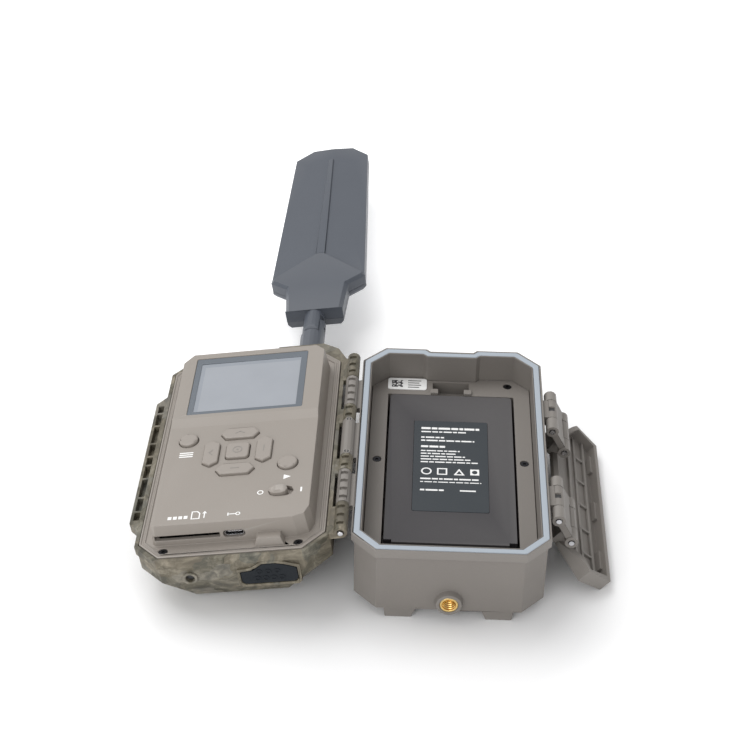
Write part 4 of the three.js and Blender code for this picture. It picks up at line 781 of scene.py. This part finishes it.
# %% Battery label print
LABEL_W = -13.965
label_rows = [
    (27.6, 28.0, 1.5), (24.9, 21.5, 0.9), (20.6, 11.0, 1.0), (18.2, 25.5, 1.0), (13.6, 11.5, 1.4),
    (10.4, 18.5, 0.8), (8.3, 16.5, 0.8), (6.2, 21.0, 0.8), (4.1, 24.0, 0.8), (2.0, 27.0, 0.8),
    (-10.3, 28.0, 1.0), (-12.6, 28.5, 0.6), (-18.4, 11.0, 1.1),
]
LABEL_LEFT, WORD_GAP = -14.2, 0.55
row_words = (4.2, 2.6, 5.4, 3.2, 1.8, 4.6, 2.2, 6.0, 3.4)
label_print = []
for row, (v, length, height) in enumerate(label_rows):
    u, word = LABEL_LEFT, row * 2
    while u < LABEL_LEFT + length - 0.5:
        width = min(row_words[word % len(row_words)] * (0.6 + 0.3 * height), LABEL_LEFT + length - u)
        label_print.append(bar(u + width / 2, v + 1.2, width, height))
        u += width + WORD_GAP
        word += 1
label_print.append(ring(-11.4, -3.6, 2.5, 0.7))
label_print.append([bar(-4.0, -3.6, 4.8, 4.8), bar(-4.0, -3.6, 3.4, 3.4)])
label_print.append([[(1.4, -6.0), (6.6, -6.0), (4.0, -1.3)], [(2.6, -5.3), (5.4, -5.3), (4.0, -2.8)]])
label_print.append([bar(11.3, -3.6, 4.2, 4.2), disc(11.3, -3.6, 1.3)])
label_print.append(bar(8.0, -17.2, 7.4, 0.9))
battery_print = printed("battery_label_print", label_print, LABEL_W, "battery", CASE)
print("label print", len(battery_print.data.polygons), "faces")

# %% [markdown]
# The square code on the sticker says nothing. It is made by a rule: a block with a hole in two of its
# corners, and a scatter of cells picked by a small sum.

# %% Sticker print
STICKER_W, CELL, CELLS = -14.115, 0.62, 9
CODE_LEFT, CODE_NEAR = -29.3, 61.9
sticker = []
for row in range(CELLS):
    for column in range(CELLS):
        corner = row not in (3, 4, 5) and column < 3
        middle = row in (1, 7) and column == 1
        speckle = (row * 5 + column * 3 + row * column) % 4 < 2
        if (corner and not middle) or (speckle and not corner):
            square = bar(CODE_LEFT + CELL * column, CODE_NEAR + CELL * row, CELL * 0.98, CELL * 0.98)
            sticker.append(square)
sticker.extend(bar(-18.2 - 0.5 * (k % 2), 67.0 - 1.8 * k, 6.6 - (k % 2), 0.6) for k in range(4))
printed("sticker_print", sticker, STICKER_W, "case", CASE, material="print_ink")

# %% [markdown]
# ## Small fittings
# The tripod insert is a brass sleeve with a real thread inside, which one turned profile, screwed along the
# sleeve, gives. The port plug has raised dots in place of raised letters.

# %% Tripod thread
insert_low, insert_high = (Vector(corner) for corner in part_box("tripod_insert"))
insert_middle = (insert_low + insert_high) / 2
THREAD_PITCH, THREAD_TURNS, BORE = 1.27 * MM, 4, 3.12 * MM
bpy.ops.mesh.primitive_plane_add(size=MM)
thread = bpy.context.object
thread.name = "tripod_thread"
flank = [(0.3, -0.5), (0.3, 0.5), (-0.42, 0.1), (-0.42, -0.1)]
for corner, (radius, rise) in zip(thread.data.vertices, flank):
    corner.co = (BORE + radius * MM, 0, rise * THREAD_PITCH)
edit(thread, lambda: bpy.ops.mesh.delete(type="ONLY_FACE"))
modify(thread, "SCREW", axis="Z", angle=2 * math.pi * THREAD_TURNS, screw_offset=THREAD_PITCH * THREAD_TURNS,
       steps=32 * THREAD_TURNS, render_steps=32 * THREAD_TURNS, use_merge_vertices=False)
thread.matrix_world = (
    Matrix.Translation((insert_middle.x, insert_low.y + 0.9 * MM, insert_middle.z))
    @ Matrix.Rotation(math.radians(-90), 4, "X")
)
settle(thread)
edit(
    thread,
    lambda: bpy.ops.mesh.remove_doubles(threshold=0.001 * MM),
    lambda: bpy.ops.mesh.select_all(action="DESELECT"),
    lambda: bpy.ops.mesh.select_non_manifold(),
    lambda: bpy.ops.mesh.fill_holes(sides=8),
    lambda: bpy.ops.mesh.select_all(action="SELECT"),
    lambda: bpy.ops.mesh.normals_make_consistent(inside=False),
)
pick(thread)
bpy.ops.object.shade_smooth_by_angle(angle=FACET_LIMIT)
finished(thread, "case", finish["brass"])
print("thread", len(thread.data.polygons), "faces")

# %% [markdown]
# The dots stand in two rows on the plug's outer face. That face is found from the plug's own box, so that
# they stay on it.

# %% Port plug dots
plug_low, plug_high = (Vector(corner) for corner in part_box("port_plug"))
plug_signs = [ring(-5.4 + 3.6 * k, -1.9, 1.4, 0.5) for k in range(4)]
plug_signs.extend(ring(-4.2 + 4.0 * k, 1.9, 1.3, 0.5) for k in range(3))
PLUG_FACE = (
    Matrix.Translation(((plug_low.x + plug_high.x) / 2, plug_low.y, (plug_low.z + plug_high.z) / 2))
    @ PANEL.to_3x3().to_4x4()
    @ Matrix.Rotation(math.radians(90), 4, "X")
)
plug_dots = printed("port_plug_relief", plug_signs, -0.02, "port_plug", PLUG_FACE,
                    material="plug_rubber", thickness=0.28, slot="plug_rubber")
print("plug relief", len(plug_dots.data.polygons), "faces")

# %% [markdown]
# The latch lever is ribbed inside, so that a thin wall stays stiff. Each knuckle that holds a link on the
# case has a small square pocket whose shade looks black from above, so a dark plate lies in it as painted
# shade. On the hinge, two small round recesses look black in their shade, so a dark disc of painted shade
# lies in each, inside a thin raised rim.

# %% Latch ribs
LEVER_LEAN = math.radians(38.772)
LEVER = Matrix.Translation(joints["latch_lever_hinge"]["pos_m"]) @ Matrix.Rotation(LEVER_LEAN, 4, "Y")
LEVER_FLOOR = -7.85
ribs = [
    flat_shape("lever_rib", [bar(x, y, 1.3, length)], LEVER_FLOOR, LEVER_FLOOR + rise, LEVER, 0.2)
    for x, y, length, rise in [(10.2, -2, 92, 1.2), (14.6, -2, 96, 0.9), (20.4, -2, 98, 1.5)]
]
ribs.extend(
    flat_shape("lever_cross_rib", [bar(17.6, y, 6.6, 1.2)], LEVER_FLOOR, LEVER_FLOOR + 1.2, LEVER, 0.2)
    for y in (-37, -20, -2.6, 14.8, 32)
)
finished(joined("latch_lever_ribs", ribs), "latch_lever", finish["case_plastic"])

# %% Painted shade in the latch pockets and hinge recesses, and the hinge rims
# The dark plates in the knuckle pockets are painted shade.
window_shade_plates = [[bar(48, y + 2.8, 2.9, 2.9)] for y in (28.5, -35.5)]
printed("latch_window_shade_plates", window_shade_plates, -2.2, "case", CASE, material="black_plastic", slot="black_plastic")
HINGE_AXES = Matrix.Translation(hinge)
DIMPLE_HEIGHT, DIMPLE_PLACES = 2.95, (-12, 12)
rims = [ring(0, y, 1.55, 0.4) for y in DIMPLE_PLACES]
printed("hinge_dimple_rims", rims, DIMPLE_HEIGHT, "case", HINGE_AXES, material="case_plastic", thickness=0.12,
        slot="case_plastic")
# The dark discs in the two hinge recesses are painted shade, and the rims around them are moulded plastic.
recess_shade_discs = [[disc(0, y, 1.1)] for y in DIMPLE_PLACES]
printed("hinge_recess_shade_discs", recess_shade_discs, DIMPLE_HEIGHT, "case", HINGE_AXES, material="black_plastic", thickness=0.1,
        slot="black_plastic")

# %% [markdown]
# The screws, pins and boards are small and simple enough to keep their CAD shape. They only need the finish
# that their slot names.

# %% The rest keep their CAD shape and get a finish
for node in frame["record"]["subparts"]:
    name, slot = node["node"], node["material_slot"]
    target = frame["nodes"][name]
    target.data.materials.clear()
    target.data.materials.append(finish.get(slot, finish["screen_face"]))

# %% [markdown]
# ## Floor, light and camera
# The camera lies on a pale table in a soft white room, so that the shadows are faint. The table glows a
# little away from the camera, which fades it to white. One large light high on the left and behind gives
# the shapes their shading, a lower one in front lifts the near walls, and the white surroundings fill the
# rest.

# %% Floor
TABLE_SIZE = 12
GLOW_MIDDLE, GLOW_START, GLOW_END, GLOW = (0, -0.14, 0), 0.11, 0.24, 0.5
bpy.ops.mesh.primitive_plane_add(size=TABLE_SIZE, location=(0, 0, 0))
floor = bpy.context.object
floor.name = "table_top"
paper, paper_tree, paper_shader = plain_material("white table", 0.6)
paper_shader.inputs["Base Color"].default_value = (0.93, 0.93, 0.935, 1)
paper_shader.inputs["Emission Color"].default_value = (1, 1, 1, 1)
spot = add(paper_tree, "ShaderNodeTexCoord").outputs["Object"]
away = add(paper_tree, "ShaderNodeVectorMath", [(0, spot), (1, GLOW_MIDDLE)], operation="DISTANCE")
glow = add(paper_tree, "ShaderNodeMapRange", [
    ("Value", away.outputs["Value"]), ("From Min", GLOW_START), ("From Max", GLOW_END), ("To Max", GLOW),
])
paper_tree.links.new(glow.outputs[0], paper_shader.inputs["Emission Strength"])
floor.data.materials.append(paper)


# %% [markdown]
# A softbox is a large lamp turned towards a point. Its size keeps the edges of the shadows soft.

# %% Lights
def softbox(name, place, aim, size, power):
    light = bpy.data.lights.new(name, "AREA")
    light.size = size
    light.energy = power
    holder = bpy.data.objects.new(name, light)
    holder.location = place
    holder.rotation_euler = (Vector(aim) - Vector(place)).to_track_quat("-Z", "Y").to_euler()
    bpy.context.collection.objects.link(holder)


ROOM_LIGHT = 0.6
softbox("key softbox", (-0.9, 0.6, 1.8), (0, -0.05, 0), size=1.8, power=30)
softbox("front softbox", (-0.8, -1.9, 1.1), (0, 0, 0), size=1.4, power=16)
world = bpy.context.scene.world or bpy.data.worlds.new("room")
bpy.context.scene.world = world
world.use_nodes = True
world.node_tree.nodes["Background"].inputs["Color"].default_value = (1, 1, 1, 1)
world.node_tree.nodes["Background"].inputs["Strength"].default_value = ROOM_LIGHT
bpy.context.scene.view_settings.view_transform = "Standard"

# %% [markdown]
# The view looks down at the opened case from the near side. The place is given from the middle of the rear
# case's rim, and the three angles are the camera's turn, its dip below the horizon and its roll.

# %% Camera
EYE = Vector((-18.853, -619.039, 497.963)) * MM
TURN = math.radians(-1.6216)
DIP = math.radians(36.573)
ROLL = math.radians(0.9253)

lens = bpy.data.cameras.new("view")
lens.sensor_width = 36
lens.lens = 81.6
lens.clip_start = 0.02
lens.clip_end = 50
eye = bpy.data.objects.new("view", lens)
bpy.context.collection.objects.link(eye)
forward = Vector((math.sin(TURN) * math.cos(DIP), math.cos(TURN) * math.cos(DIP), -math.sin(DIP)))
level = Vector((math.cos(TURN), -math.sin(TURN), 0))
upright = level.cross(forward)
right = math.cos(ROLL) * level + math.sin(ROLL) * upright
top = -math.sin(ROLL) * level + math.cos(ROLL) * upright
turned = Matrix((right, top, -forward)).transposed().to_4x4()
eye.matrix_world = Matrix.Translation(case_middle + EYE) @ turned
bpy.context.scene.camera = eye
